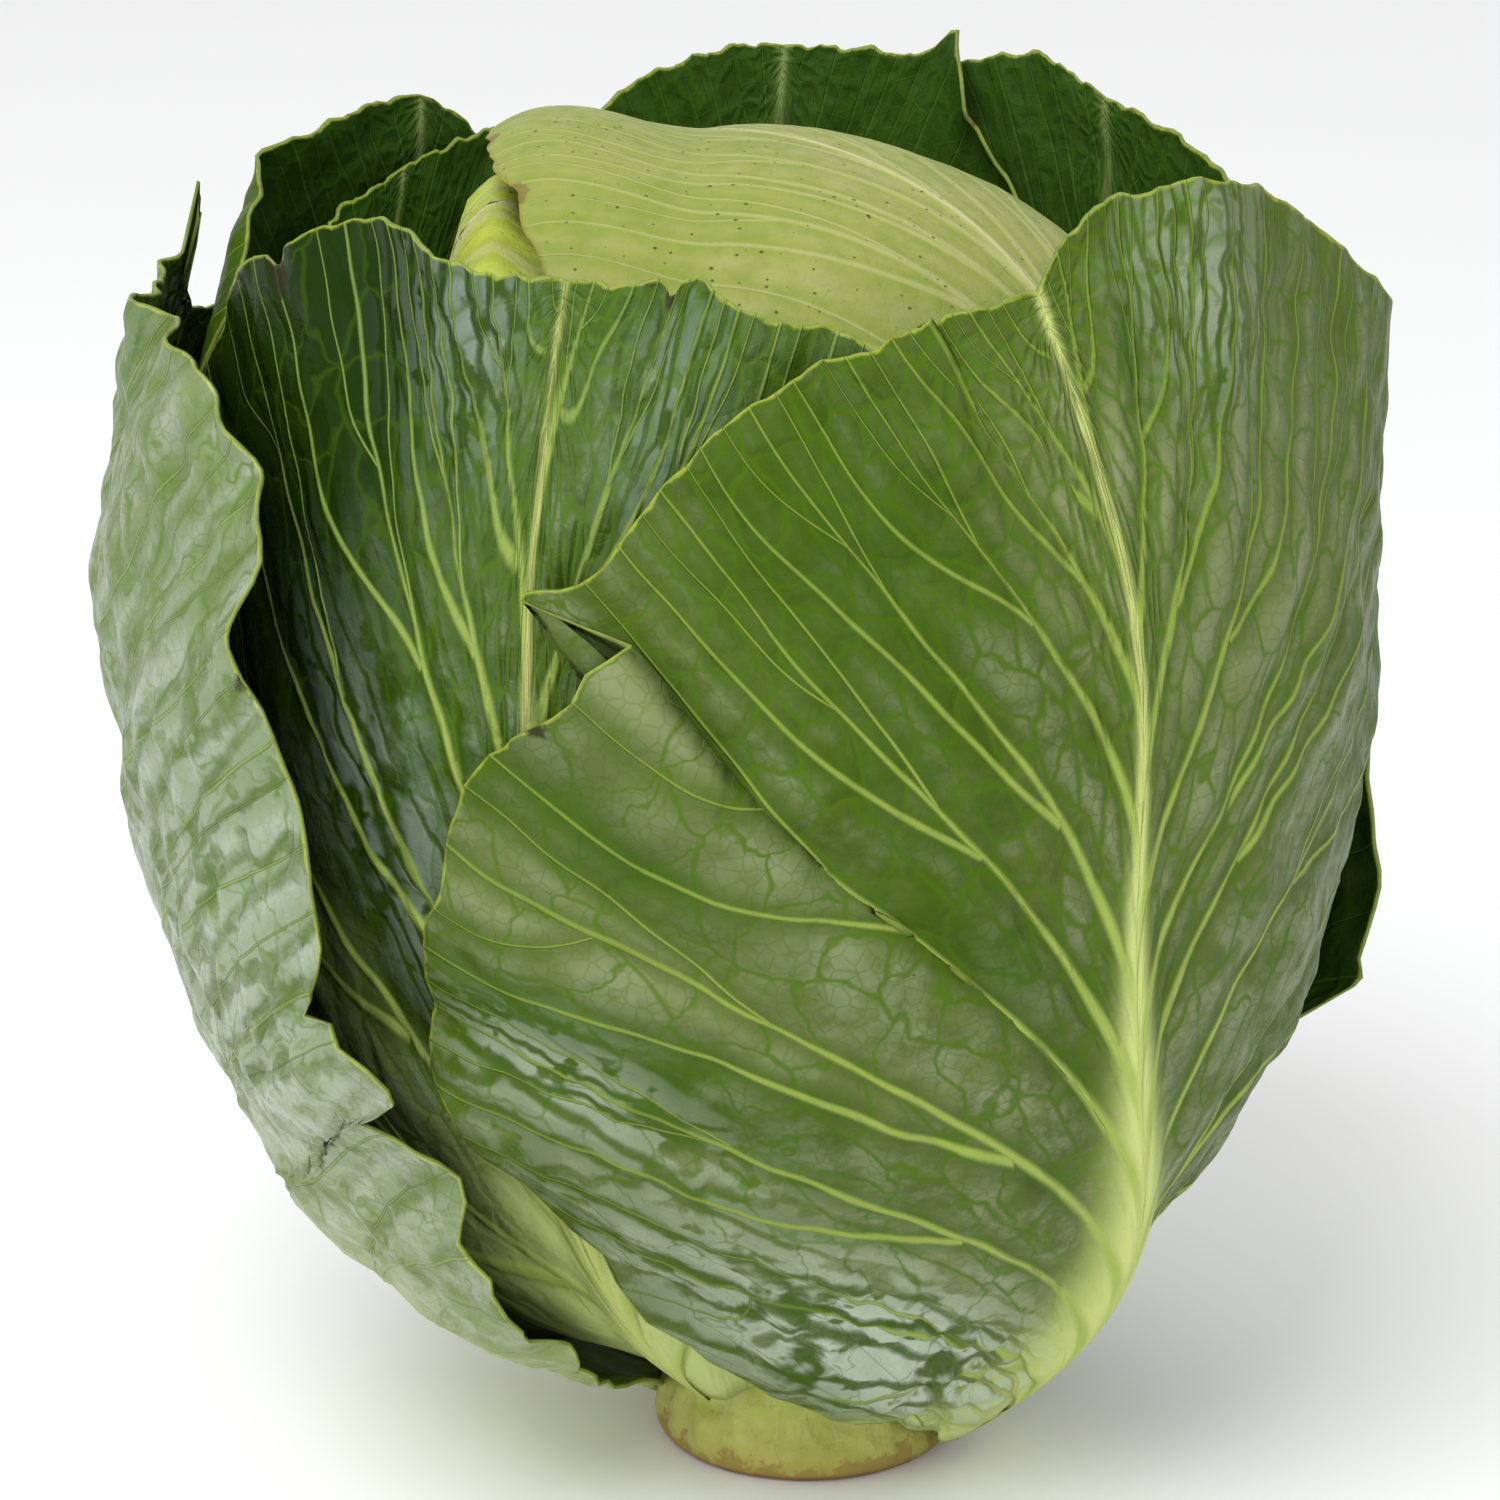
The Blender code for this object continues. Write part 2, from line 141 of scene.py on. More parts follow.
def marginWave(leaf, at):
    lift = np.zeros_like(at.end)
    for (height, count, phase), sign in eachSide(leaf, "wave", None):
        lift += (at.side == sign) * height * np.sin(2 * math.pi * (count * at.end + phase))
    lift *= smoothStep(at.out, 0.55, 1.0)
    frill = ripple(at.end + 0.17 * at.side, leaf.get("frill", marginFrill))
    lift += frill * smoothStep(at.out, 0.86, 1.0)
    return lift * smoothStep(at.end, 0.02, 0.2) * smoothStep(1 - at.end, 0, 0.2)


def pleatShift(leaf, at):
    # A pleat: the blade below the place is lifted and slides up over the blade above it
    lift, slide = np.zeros_like(at.end), np.zeros_like(at.end)
    for pleats, sign in eachSide(leaf, "pleats", []):
        for pleat in pleats:
            below = (pleat["place"] - at.end) / pleat["width"]
            shape = np.clip(1 - below, 0, 1) ** 2 * (below > 0) * (at.side == sign)
            shape *= smoothStep(at.out, pleat["from"], 1.0)
            lift += pleat["lift"] * shape * (0.3 + 0.7 * smoothStep(below, 0, 0.17))
            slide += pleat["slide"] * shape
    return lift, slide


def marginCurl(leaf, at):
    # The rim of the blade rolled over, by so many half turns: how far it comes back, and its lift
    back, lift = np.zeros_like(at.end), np.zeros_like(at.end)
    for curls, sign in eachSide(leaf, "curls", []):
        for curl in curls:
            beyond = np.clip(at.out - curl["from"], 0, 1)
            length = beyond * at.rowLength
            angle = math.pi * abs(curl["turn"]) * beyond / (1 - curl["from"])
            angle *= (at.side == sign) * np.exp(-((at.end - curl["place"]) / curl["width"]) ** 4)
            angle = np.maximum(angle, 1e-6)
            back += length * (1 - np.sin(angle) / angle)
            lift += math.copysign(1, curl["turn"]) * length * (1 - np.cos(angle)) / angle
    return back, lift


# Veins. Each half of a blade is read in cells, one from each side vein to the next. Phase counts
# the cells from the stump to the tip, out runs from the midrib (0) to the margin (1), and gap is
# the width of a cell in mm. The same fork table shapes the mesh and draws the veins' colour.

forks = [
    # above: it leaves the cell's upper vein downwards. start, reach: where it leaves and how far in
    {"above": True, "start": (0.20, 0.30), "reach": (0.44, 0.16), "width": 0.75, "turn": (0.618, 0.10)},
    {"above": False, "start": (0.42, 0.28), "reach": (0.20, 0.12), "width": 0.55, "turn": (0.755, 0.35)},
    {"above": True, "start": (0.62, 0.20), "reach": (0.17, 0.10), "width": 0.45, "turn": (0.570, 0.80)},
]
forkBend = 2.5
forkLuck = 7.31
forkGap = (4.0, 9.0)   # mm, a fork fades out where its cell gets as narrow as this
phaseShift = 50.5      # keeps the right half's veins between the left half's, with forks of their own
noiseWaves = 7


def veinWidth(out, order, width):
    return width * (1 - 0.72 * out) * (1.3 - 0.65 * order)


def veinRelief(out, phase, gap, width):
    cell = np.floor(phase)
    part = phase - cell
    near = np.minimum(part, 1 - part) * gap
    relief = np.exp(-(near / (1.6 * width)) ** 2)
    for fork in forks:
        first = (cell * fork["turn"][0] + fork["turn"][1]) % 1
        second = (first * forkLuck) % 1
        start = fork["start"][0] + fork["start"][1] * first
        reach = fork["reach"][0] + fork["reach"][1] * second
        way = np.clip((out - start) / (1 - start), 0, 1)
        place = reach * (1 - (1 - way) ** forkBend)
        place = 1 - place if fork["above"] else place
        ridge = fork["width"] * np.exp(-(np.abs(part - place) * gap / (1.3 * width)) ** 2)
        relief = np.maximum(relief, ridge * smoothStep(gap, *forkGap) * smoothStep(way, 0.0, 0.06))
    return relief


def softNoise(points, size, seed):
    # Soft unevenness from a few waves of about this size (mm), each in a direction of its own
    draw = np.random.default_rng(seed)
    total = np.zeros(len(points))
    for _ in range(noiseWaves):
        way = draw.normal(size=3)
        way *= 2 * math.pi / (size * mm) / np.linalg.norm(way) * draw.uniform(0.6, 1.5)
        total += np.sin(points @ way + draw.uniform(0, 2 * math.pi))
    return total / noiseWaves ** 0.5


# Meshes

def meshFrom(bm, name):
    mesh = bpy.data.meshes.new(name)
    bm.to_mesh(mesh)
    bm.free()
    places = np.zeros(3 * len(mesh.vertices), np.float32)
    mesh.vertices.foreach_get("co", places)
    return mesh, places.reshape(-1, 3).astype(float)


def addPiece(mesh, points, skins):
    mesh.vertices.foreach_set("co", points.astype(np.float32).ravel())
    mesh.update()
    mesh.shade_smooth()
    for skin in skins:
        mesh.materials.append(skin)
    piece = bpy.data.objects.new(mesh.name, mesh)
    scene.collection.objects.link(piece)
    return piece


def keepNumbers(mesh, **numbers):
    for name, values in numbers.items():
        layer = mesh.attributes.new(name, "FLOAT", "POINT")
        layer.data.foreach_set("value", np.asarray(values, np.float32))


def flatLeaf(name, columns, rows):
    bm = bmesh.new()
    bmesh.ops.create_grid(bm, x_segments=2 * columns, y_segments=rows, size=1.0)
    tip = {round(vertex.co.x * columns): vertex for vertex in bm.verts if vertex.co.y > 1 - 1e-6}
    halves = {vertex: tip[-place] for place, vertex in tip.items() if place < 0}
    bmesh.ops.weld_verts(bm, targetmap=halves)      # the halves meet along the last row
    return meshFrom(bm, name)


def mapVeins(mesh, flat, at):
    corners = np.zeros(len(mesh.loops), np.int32)
    mesh.loops.foreach_get("vertex_index", corners)
    inner = (flat[corners, 1] < 1 - 1e-6).reshape(-1, 4)
    leaning = (flat[corners, 0].reshape(-1, 4) * inner).sum(axis=1)
    right = np.repeat(leaning > 0, 4)
    layer = mesh.uv_layers.new(name="veins")
    values = np.column_stack((at.out[corners], at.phase[corners] + phaseShift * right))
    layer.data.foreach_set("uv", values.astype(np.float32).ravel())


def spotMask(leaf, kind, at):
    # A spot has its half of the leaf, the middle in order and out, the reach each way, and a share
    total = np.zeros_like(at.out)
    for half, level, place, tall, wide, share in leaf.get(kind, []):
        away = ((at.order - level) / tall) ** 2 + ((at.out - place) / wide) ** 2
        total += (at.side == half) * share * np.exp(-away)
    return np.clip(total, 0, 1)


def addShell(piece, thickness):
    group = piece.vertex_groups.new(name="thickness")
    thickest = float(thickness.max())
    for index, share in enumerate((thickness / thickest).tolist()):
        group.add([index], share, "REPLACE")
    shell = piece.modifiers.new("thickness", "SOLIDIFY")
    shell.thickness = thickest
    shell.offset = 1.0
    shell.vertex_group = "thickness"
    shell.thickness_vertex_group = 0.0
    shell.use_even_offset = False
    shell.material_offset = 1
    shell.material_offset_rim = 2


bladeForm = {
    "crowding": (0.45, 0.40),            # of the grid's lines at the midrib and margin, and at the veins
    "thickness": 1.1, "thinner": 0.35,   # mm, the blade's, and how much thinner it is at the margin
    "crest": 1.3, "crestWidth": 2.2,     # mm, of the sharp line along the midrib
    "wing": (30, 1.8, 4.5),              # the pale part beside the midrib: mm at the stump and tip, fall
    "paleBase": 0.12, "middle": 0.8,     # the pale base's share of the leaf, the midrib line's width
}


def bladePlaces(leaf, pointAt, flat):
    # Each vertex of the flat grid on the leaf. order is 0 at the stump and 1 at the tip, and end is
    # where the vertex's row meets the margin. outward, upward and normal are the blade's directions.
    veins = leaf["veins"]
    crowdOut, crowdAlong = bladeForm["crowding"]
    x, y = flat[:, 0], flat[:, 1]
    side = np.where(x < 0, -1.0, 1.0)
    out = np.abs(x) - crowdOut * np.sin(2 * math.pi * np.abs(x)) / (2 * math.pi)
    phase = (y + 1) / 2 * veins
    phase -= crowdAlong * np.sin(4 * math.pi * phase) / (4 * math.pi)

    def linesAt(phase, out):
        rest = phase / veins
        calm = smoothStep(rest, 0, 0.08) * smoothStep(1 - rest, 0, 0.12)
        order = np.clip(rest + 0.10 / veins * np.sin(2.1 * phase + leaf["seed"]) * calm, 0, 1)
        growth = marginGrowth(leaf, side, marginPlace(leaf, order))
        wander = sum(strength * np.sin(up * phase + across * out + turn * side)
                     for up, across, turn, strength in veinFlow["wander"])
        wander *= calm * smoothStep(out, 0.03, 0.4) * (1 - smoothStep(out, 0.75, 1.0))
        bent = np.clip(order + veinFlow["wobble"] / veins * wander, 0, 1)
        return (*leafLines(leaf, out, bent, side, growth), order)

    def placeAt(phase, out):
        across, along, _ = linesAt(phase, out)
        return pointAt(across, along)

    across, along, order = linesAt(phase, out)
    step = 1e-3
    normals = np.cross(pointAt(across + step, along) - pointAt(across - step, along),
                       pointAt(across, along + step) - pointAt(across, along - step))
    alongRow = placeAt(phase, np.clip(out + step, 0, 1)) - placeAt(phase, np.clip(out - step, 0, 1))
    alongRow /= np.where((out < step) | (out > 1 - step), step, 2 * step)[:, None]
    nextRow = (placeAt(phase + step, out) - placeAt(phase - step, out)) / (2 * step)
    rowLength = np.linalg.norm(alongRow, axis=1) + 1e-9
    rowHeight = np.linalg.norm(nextRow, axis=1) + 1e-9
    return SimpleNamespace(
        side=side, out=out, phase=phase, order=order, end=marginPlace(leaf, order), low=np.clip(along, 0, 1),
        sidePhase=phase + np.where(side > 0, phaseShift, 0), rowLength=rowLength / mm,
        gap=np.linalg.norm(np.cross(nextRow, alongRow), axis=1) / rowLength / mm,
        point=pointAt(across, along), midrib=pointAt(np.zeros_like(across), along),
        normal=normals / np.linalg.norm(normals, axis=1)[:, None],
        outward=alongRow / rowLength[:, None], upward=nextRow / rowHeight[:, None])


def bladeShift(leaf, at):
    # The panels between the veins, soft unevenness, and the margin's waves, pleats and curls
    seed = leaf["seed"]
    pucker = np.sin(math.pi * (at.sidePhase % 1)) ** 1.3
    pucker *= smoothStep(at.out, 0.05, 0.35) * (1 - 0.6 * smoothStep(at.out, 0.7, 1.0))
    pucker *= np.clip((at.gap - 4) / 12, 0, 1) * smoothStep(1 - at.order, 0, 0.2)
    lift, slide = pleatShift(leaf, at)
    lift += marginWave(leaf, at)
    lift += leaf["pucker"] * pucker * (0.7 + 0.5 * softNoise(at.point, 45, seed))
    lift += leaf["crumple"] * softNoise(at.point, 16, seed + 1) * smoothStep(at.out, 0.1, 0.5)
    lift += 0.9 * spotMask(leaf, "blisterGlint", at) * softNoise(at.point, 8, seed + 2)
    back, roll = marginCurl(leaf, at)
    return at.normal * (lift + roll)[:, None] + at.upward * slide[:, None] - at.outward * back[:, None]


def bladeThickness(leaf, at, distance, width):
    # A ridge along the midrib that tapers from the stump, a sharp crest on it, and the side veins
    ribWidth, ribHeight = leaf["rib"]
    span = np.clip(distance / (ribWidth * (1 - 0.8 * at.low)), 0, 1)
    ridge = ribHeight * (1 - at.low) ** 1.4 * (1 - span ** 2) ** 2
    crest = leaf.get("crest", bladeForm["crest"]) * np.exp(-(distance / bladeForm["crestWidth"]) ** 2)
    crest *= 1 - 0.85 * smoothStep(at.low, 0.5, 0.95)
    relief = veinRelief(at.out, at.sidePhase, at.gap, width) * leaf["relief"]
    relief *= (1 - 0.75 * at.out) * (1 - 0.55 * at.low) * smoothStep(at.gap, 3, 11)
    relief *= smoothStep(at.out, 0.0, 0.06) * smoothStep(1 - at.order, 0, 0.03)
    blade = bladeForm["thickness"] - bladeForm["thinner"] * smoothStep(at.out, 0.8, 1.0)
    return blade + np.maximum(ridge, np.maximum(crest, relief))


def palePart(leaf, at, distance):
    base, tip, fall = leaf.get("wing", bladeForm["wing"])
    pale = np.exp(-(distance / (base * (1 - at.low) ** fall + tip)) ** 2)
    pale *= 1 - 0.7 * smoothStep(at.low, 0.5, 1.0)
    pale = np.maximum(pale, 1 - smoothStep(at.low, 0.02, leaf.get("paleBase", bladeForm["paleBase"])))
    return np.maximum(pale, spotMask(leaf, "stalk", at))


def makeBlade(name, leaf, pointAt, skins):
    mesh, flat = flatLeaf(name, leaf["columns"], leaf["veins"] * leaf["rowsPerVein"])
    at = bladePlaces(leaf, pointAt, flat)
    mapVeins(mesh, flat, at)
    points = at.point + bladeShift(leaf, at) * mm
    distance = np.linalg.norm(points - at.midrib, axis=1) / mm
    width = veinWidth(at.out, at.order, leaf["veinWidth"])
    middleWidth = leaf.get("middle", bladeForm["middle"]) + 3.2 * (1 - at.low) ** 4
    keepNumbers(mesh, gap=at.gap, edge=(1 - at.out) * at.rowLength, pale=palePart(leaf, at, distance),
                middle=np.exp(-(distance / middleWidth) ** 2), veinSize=width)
    # The spots: blistered patches with painted bluish-white glints, patches of painted shade, patches of
    # painted light (on the heart cap, its tip's own yellow-brown) and bites
    keepNumbers(mesh, **{kind: spotMask(leaf, kind, at) for kind in ("blisterGlint", "paintedShade", "light", "scar")})
    piece = addPiece(mesh, points, skins)
    addShell(piece, bladeThickness(leaf, at, distance, width) * mm)
    return piece


# Node groups. They put out masks only, and each material sets its own shader.

def wire(tree, socket, value):
    if isinstance(value, bpy.types.NodeSocket):
        tree.links.new(value, socket)
    else:
        socket.default_value = value


def calc(tree, operation, *values, clamp=False):
    node = tree.nodes.new("ShaderNodeMath")
    node.operation = operation
    node.use_clamp = clamp
    for socket, value in zip(node.inputs, values):
        wire(tree, socket, value)
    return node.outputs[0]


def ramp(tree, value, low, high, start=0.0, end=1.0):
    node = tree.nodes.new("ShaderNodeMapRange")
    node.interpolation_type = "SMOOTHSTEP"
    for socket, number in zip(node.inputs, (value, low, high, start, end)):
        wire(tree, socket, number)
    return node.outputs["Result"]


def blendColour(tree, share, first, second):
    node = tree.nodes.new("ShaderNodeMix")
    node.data_type = "RGBA"
    wire(tree, node.inputs[0], share)
    wire(tree, node.inputs[6], first if isinstance(first, bpy.types.NodeSocket) else (*first, 1))
    wire(tree, node.inputs[7], second if isinstance(second, bpy.types.NodeSocket) else (*second, 1))
    return node.outputs[2]


def cloud(tree, vector, size, detail=2.0, rough=0.5, seed=0.0):
    place = tree.nodes.new("ShaderNodeMapping")
    place.inputs["Location"].default_value = (seed, 0.37 * seed, 0.71 * seed)
    wire(tree, place.inputs["Vector"], vector)
    node = tree.nodes.new("ShaderNodeTexNoise")
    wire(tree, node.inputs["Vector"], place.outputs["Vector"])
    node.inputs["Scale"].default_value = 1 / (size * mm)
    node.inputs["Detail"].default_value = detail
    node.inputs["Roughness"].default_value = rough
    return node.outputs["Fac"]


def cells(tree, vector, scale, dimensions="2D"):
    node = tree.nodes.new("ShaderNodeTexVoronoi")
    node.feature = "DISTANCE_TO_EDGE"
    node.voronoi_dimensions = dimensions
    node.inputs["Scale"].default_value = scale
    wire(tree, node.inputs["Vector"], vector)
    return node.outputs["Distance"]


def objectPoint(tree):
    return tree.nodes.new("ShaderNodeTexCoord").outputs["Object"]


def newGroup(name, inputs, outputs):
    tree = bpy.data.node_groups.new(name, "ShaderNodeTree")
    for title, value in inputs.items():
        kind = "NodeSocketVector" if value is None else "NodeSocketFloat"
        socket = tree.interface.new_socket(title, in_out="INPUT", socket_type=kind)
        if value is not None:
            socket.default_value = value
    for title in outputs:
        tree.interface.new_socket(title, in_out="OUTPUT", socket_type="NodeSocketFloat")
    return tree, tree.nodes.new("NodeGroupInput").outputs, tree.nodes.new("NodeGroupOutput").inputs


def useGroup(tree, group, **values):
    node = tree.nodes.new("ShaderNodeGroup")
    node.node_tree = group
    for name, value in values.items():
        wire(tree, node.inputs[name], value)
    return node.outputs


def makeVeinGroup():
    inputs = {"place": None, "gap": 20.0, "size": 1.0}
    tree, given, made = newGroup("leafVeins", inputs, ("line", "band", "panel"))
    parts = tree.nodes.new("ShaderNodeSeparateXYZ")
    wire(tree, parts.inputs[0], given["place"])
    out, phase = parts.outputs[0], parts.outputs[1]
    cell = calc(tree, "FLOOR", phase)
    part = calc(tree, "FRACT", phase)
    nearest = calc(tree, "MULTIPLY", calc(tree, "PINGPONG", phase, 0.5), given["gap"])
    widths = calc(tree, "DIVIDE", nearest, given["size"])
    for fork in forks:
        first = calc(tree, "FRACT", calc(tree, "MULTIPLY_ADD", cell, *fork["turn"]))
        second = calc(tree, "FRACT", calc(tree, "MULTIPLY", first, forkLuck))
        start = calc(tree, "MULTIPLY_ADD", first, fork["start"][1], fork["start"][0])
        reach = calc(tree, "MULTIPLY_ADD", second, fork["reach"][1], fork["reach"][0])
        beyond = calc(tree, "SUBTRACT", out, start)
        way = calc(tree, "DIVIDE", beyond, calc(tree, "SUBTRACT", 1.0, start), clamp=True)
        bent = calc(tree, "POWER", calc(tree, "SUBTRACT", 1.0, way), forkBend)
        place = calc(tree, "MULTIPLY", reach, calc(tree, "SUBTRACT", 1.0, bent))
        if fork["above"]:
            place = calc(tree, "SUBTRACT", 1.0, place)
        off = calc(tree, "ABSOLUTE", calc(tree, "SUBTRACT", part, place))
        off = calc(tree, "MULTIPLY", off, given["gap"])
        off = calc(tree, "ADD", off, ramp(tree, way, 0.0, 0.04, 20.0, 0.0))
        off = calc(tree, "ADD", off, ramp(tree, given["gap"], *forkGap, 20.0, 0.0))
        size = calc(tree, "MULTIPLY", given["size"], fork["width"])
        widths = calc(tree, "MINIMUM", widths, calc(tree, "DIVIDE", off, size))
        nearest = calc(tree, "MINIMUM", nearest, off)
    wire(tree, made["line"], ramp(tree, widths, 0.25, 1.3, 1.0, 0.0))
    wire(tree, made["band"], ramp(tree, nearest, 0.8, 5.0, 1.0, 0.0))
    wire(tree, made["panel"], ramp(tree, nearest, 0.6, 7.0))
    return tree


def makeNetGroup():
    # The fine net between the veins: meshes drawn in the veins' own place, and finer ones in space
    inputs = {"place": None, "point": None, "gap": 20.0, "across": 14.0, "up": 3.0}
    tree, given, made = newGroup("fineNet", inputs, ("net", "swell", "fine", "blister"))
    parts = tree.nodes.new("ShaderNodeSeparateXYZ")
    wire(tree, parts.inputs[0], given["place"])
    stir = calc(tree, "SUBTRACT", cloud(tree, given["point"], 9, 2.0), 0.5)

    def stirred(across, up, stirAcross, stirUp):
        both = tree.nodes.new("ShaderNodeCombineXYZ")
        outward = calc(tree, "MULTIPLY", parts.outputs[0], across)
        upward = calc(tree, "MULTIPLY", parts.outputs[1], up)
        wire(tree, both.inputs[0], calc(tree, "MULTIPLY_ADD", stir, stirAcross, outward))
        wire(tree, both.inputs[1], calc(tree, "MULTIPLY_ADD", stir, stirUp, upward))
        return both.outputs[0]

    meshes = cells(tree, stirred(given["across"], given["up"], 1.1, 0.7), 1.0)
    line = calc(tree, "DIVIDE", 2.2, calc(tree, "MAXIMUM", given["gap"], 6.0))
    wire(tree, made["net"], ramp(tree, meshes, 0.0, line, 1.0, 0.0))
    wire(tree, made["swell"], ramp(tree, meshes, 0.0, 0.36))
    wire(tree, made["blister"], ramp(tree, cells(tree, stirred(4.0, 4.6, 0.8, 0.8), 1.0), 0.04, 0.20))
    small = cells(tree, given["point"], 1 / (3.4 * mm), "3D")
    wire(tree, made["fine"], ramp(tree, small, 0.0, 0.09, 1.0, 0.0))
    return tree


def makeSpeckGroup():
    inputs = {"point": None, "spacing": 7.0, "size": 0.3, "share": 0.3}
    tree, given, made = newGroup("specks", inputs, ("speck",))
    dots = tree.nodes.new("ShaderNodeTexVoronoi")
    wire(tree, dots.inputs["Scale"], calc(tree, "DIVIDE", 1000.0, given["spacing"]))
    wire(tree, dots.inputs["Vector"], given["point"])
    luck = tree.nodes.new("ShaderNodeSeparateColor")
    wire(tree, luck.inputs[0], dots.outputs["Color"])
    reach = calc(tree, "DIVIDE", given["size"], given["spacing"])
    reach = calc(tree, "MULTIPLY", reach, calc(tree, "MULTIPLY_ADD", luck.outputs[1], 1.2, 0.5))
    dot = ramp(tree, dots.outputs["Distance"], calc(tree, "MULTIPLY", reach, 0.5), reach, 1.0, 0.0)
    shown = calc(tree, "LESS_THAN", luck.outputs[0], given["share"])
    wire(tree, made["speck"], calc(tree, "MULTIPLY", dot, shown))
    return tree


veinGroup = makeVeinGroup()
netGroup = makeNetGroup()
speckGroup = makeSpeckGroup()
print("node groups made")


def newMaterial(name):
    material = bpy.data.materials.new(name)
    material.use_nodes = True
    shader = material.node_tree.nodes["Principled BSDF"]
    shader.inputs["Metallic"].default_value = 0.0
    return material, material.node_tree, shader


def kept(tree, name):
    node = tree.nodes.new("ShaderNodeAttribute")
    node.attribute_name = name
    return node.outputs["Fac"]


def addBump(tree, shader, height):
    bump = tree.nodes.new("ShaderNodeBump")
    bump.inputs["Strength"].default_value = 1.0
    bump.inputs["Distance"].default_value = mm
    wire(tree, bump.inputs["Height"], height)
    wire(tree, shader.inputs["Normal"], bump.outputs[0])


def leafSkin(name, look):
    material, tree, shader = newMaterial(name)
    point = objectPoint(tree)
    place = tree.nodes.new("ShaderNodeUVMap")
    place.uv_map = "veins"
    gap, size, edge = kept(tree, "gap"), kept(tree, "veinSize"), kept(tree, "edge")
    pale, middle, scar = kept(tree, "pale"), kept(tree, "middle"), kept(tree, "scar")
    blisterGlint, paintedShade, light = kept(tree, "blisterGlint"), kept(tree, "paintedShade"), kept(tree, "light")
    veins = useGroup(tree, veinGroup, place=place.outputs[0], gap=gap, size=size)
    net = useGroup(tree, netGroup, place=place.outputs[0], point=point, gap=gap,
                   across=look["netAcross"], up=look["netUp"])

    def mask(value, *shares):
        for share in shares:
            value = calc(tree, "MULTIPLY", value, share)
        return value

    def without(value, share=1.0):
        return calc(tree, "MULTIPLY_ADD", value, -share, 1.0)

    def noise(size, detail, rough, turn, low, high):
        return ramp(tree, cloud(tree, point, size, detail, rough, look["seed"] + turn), low, high)

    def ragged(value, size, detail, strength):
        jitter = cloud(tree, point, size, detail)
        return calc(tree, "MULTIPLY_ADD", jitter, strength, calc(tree, "SUBTRACT", value, strength / 2))

    def paint(share, tint):
        nonlocal colour
        colour = blendColour(tree, share, colour, tint)

    # From the blade outwards: tone, painted light, wax bloom, fine net, painted shade, pale base, veins,
    # painted glints on the blisters with painted shade between them, specks and margin
    patches = noise(34, 4.0, 0.6, 0, 0.38, 0.62)
    mottle = noise(6, 4.0, 0.65, 3, 0.38, 0.66)
    colour = blendColour(tree, patches, look["blade"], look["bladeLight"])
    paint(mask(mottle, 0.5), look["bladeDark"])
    # painted light: lighter patches where light falls on the front leaves; on the heart cap this layer is the
    # tip's own yellow-brown
    paint(light, look["paintedLightOrTipColour"])
    paint(mask(veins["band"], look["band"]), look["bandColour"])
    bloom = mask(noise(15, 5.0, 0.65, 7, look["waxFrom"], look["waxTo"]),
                 calc(tree, "MULTIPLY_ADD", veins["panel"], 0.85, 0.15),
                 without(net["net"], 0.8), without(net["fine"], 0.3))
    paint(mask(bloom, look["wax"]), look["waxColour"])
    paint(mask(net["net"], look["net"]), look["netColour"])
    paint(mask(net["fine"], look["net"] * 0.4), look["netColour"])
    # painted shade: darker patches where a leaf lies in shade, beside another leaf, below a fold or turned
    # away
    paint(mask(paintedShade, without(net["net"], 0.3)), look["paintedShadeColour"])
    paint(pale, look["pale"])
    line = blendColour(tree, ramp(tree, size, 0.5, 1.5), look["veinColour"], look["veinBase"])
    paint(mask(veins["line"], look["vein"]), line)
    # painted highlight: bluish-white glints on the blisters
    paintedGlint = mask(noise(6, 3.0, 0.5, 11, 0.34, 0.44), blisterGlint,
               mask(net["blister"], without(veins["line"])), without(net["net"], 0.5))
    # painted shade in the hollows between the blisters
    grooveShade = mask(without(net["blister"]), blisterGlint)
    paint(mask(grooveShade, mask(0.7, without(pale, 0.6))), look["paintedShadeColour"])
    paint(mask(paintedGlint, 0.9), look["paintedGlintColour"])
    paint(mask(middle, look["middle"]), look["middleColour"])
    specks = useGroup(tree, speckGroup, point=point, spacing=look["speckGap"], size=look["speckSize"],
                      share=look["specks"])["speck"]
    paint(mask(specks, 0.8), (0.02, 0.025, 0.008))
    paint(mask(ramp(tree, ragged(edge, 3, 2.0, 1.6), 0.1, 0.8, 1.0, 0.0), 0.85), look["rim"])
    bitten = ramp(tree, ragged(scar, 2.5, 3.0, 0.8), 0.25, 0.5)
    paint(mask(bitten, look["scarDepth"]), look["scarColour"])
    wire(tree, shader.inputs["Base Color"], colour)

    gloss = calc(tree, "MULTIPLY_ADD", mottle, 0.10, look["rough"])
    gloss = calc(tree, "MULTIPLY_ADD", pale, 0.12, gloss)
    gloss = calc(tree, "MULTIPLY_ADD", blisterGlint, -0.10, gloss)
    wire(tree, shader.inputs["Roughness"], gloss)
    shimmer = calc(tree, "MULTIPLY_ADD", bloom, look["shine"], 0.4 * look["shine"])
    wire(tree, shader.inputs["Specular IOR Level"], mask(shimmer, without(paintedShade, 0.7)))

    height = mask(net["swell"], look["swell"], without(pale, 0.85))
    for value, strength in (
        (mask(net["blister"], blisterGlint), -0.7 * look["side"]),
        (veins["panel"], look["panelHeight"]),
        (veins["line"], look["veinHeight"]),
        (net["fine"], 0.04 * look["side"]),
        (cloud(tree, point, 1.6, 3.0), 0.10),
        (cloud(tree, point, 7, 2.0), look["uneven"]),
    ):
        height = calc(tree, "MULTIPLY_ADD", value, strength, height)
    addBump(tree, shader, height)
    return material


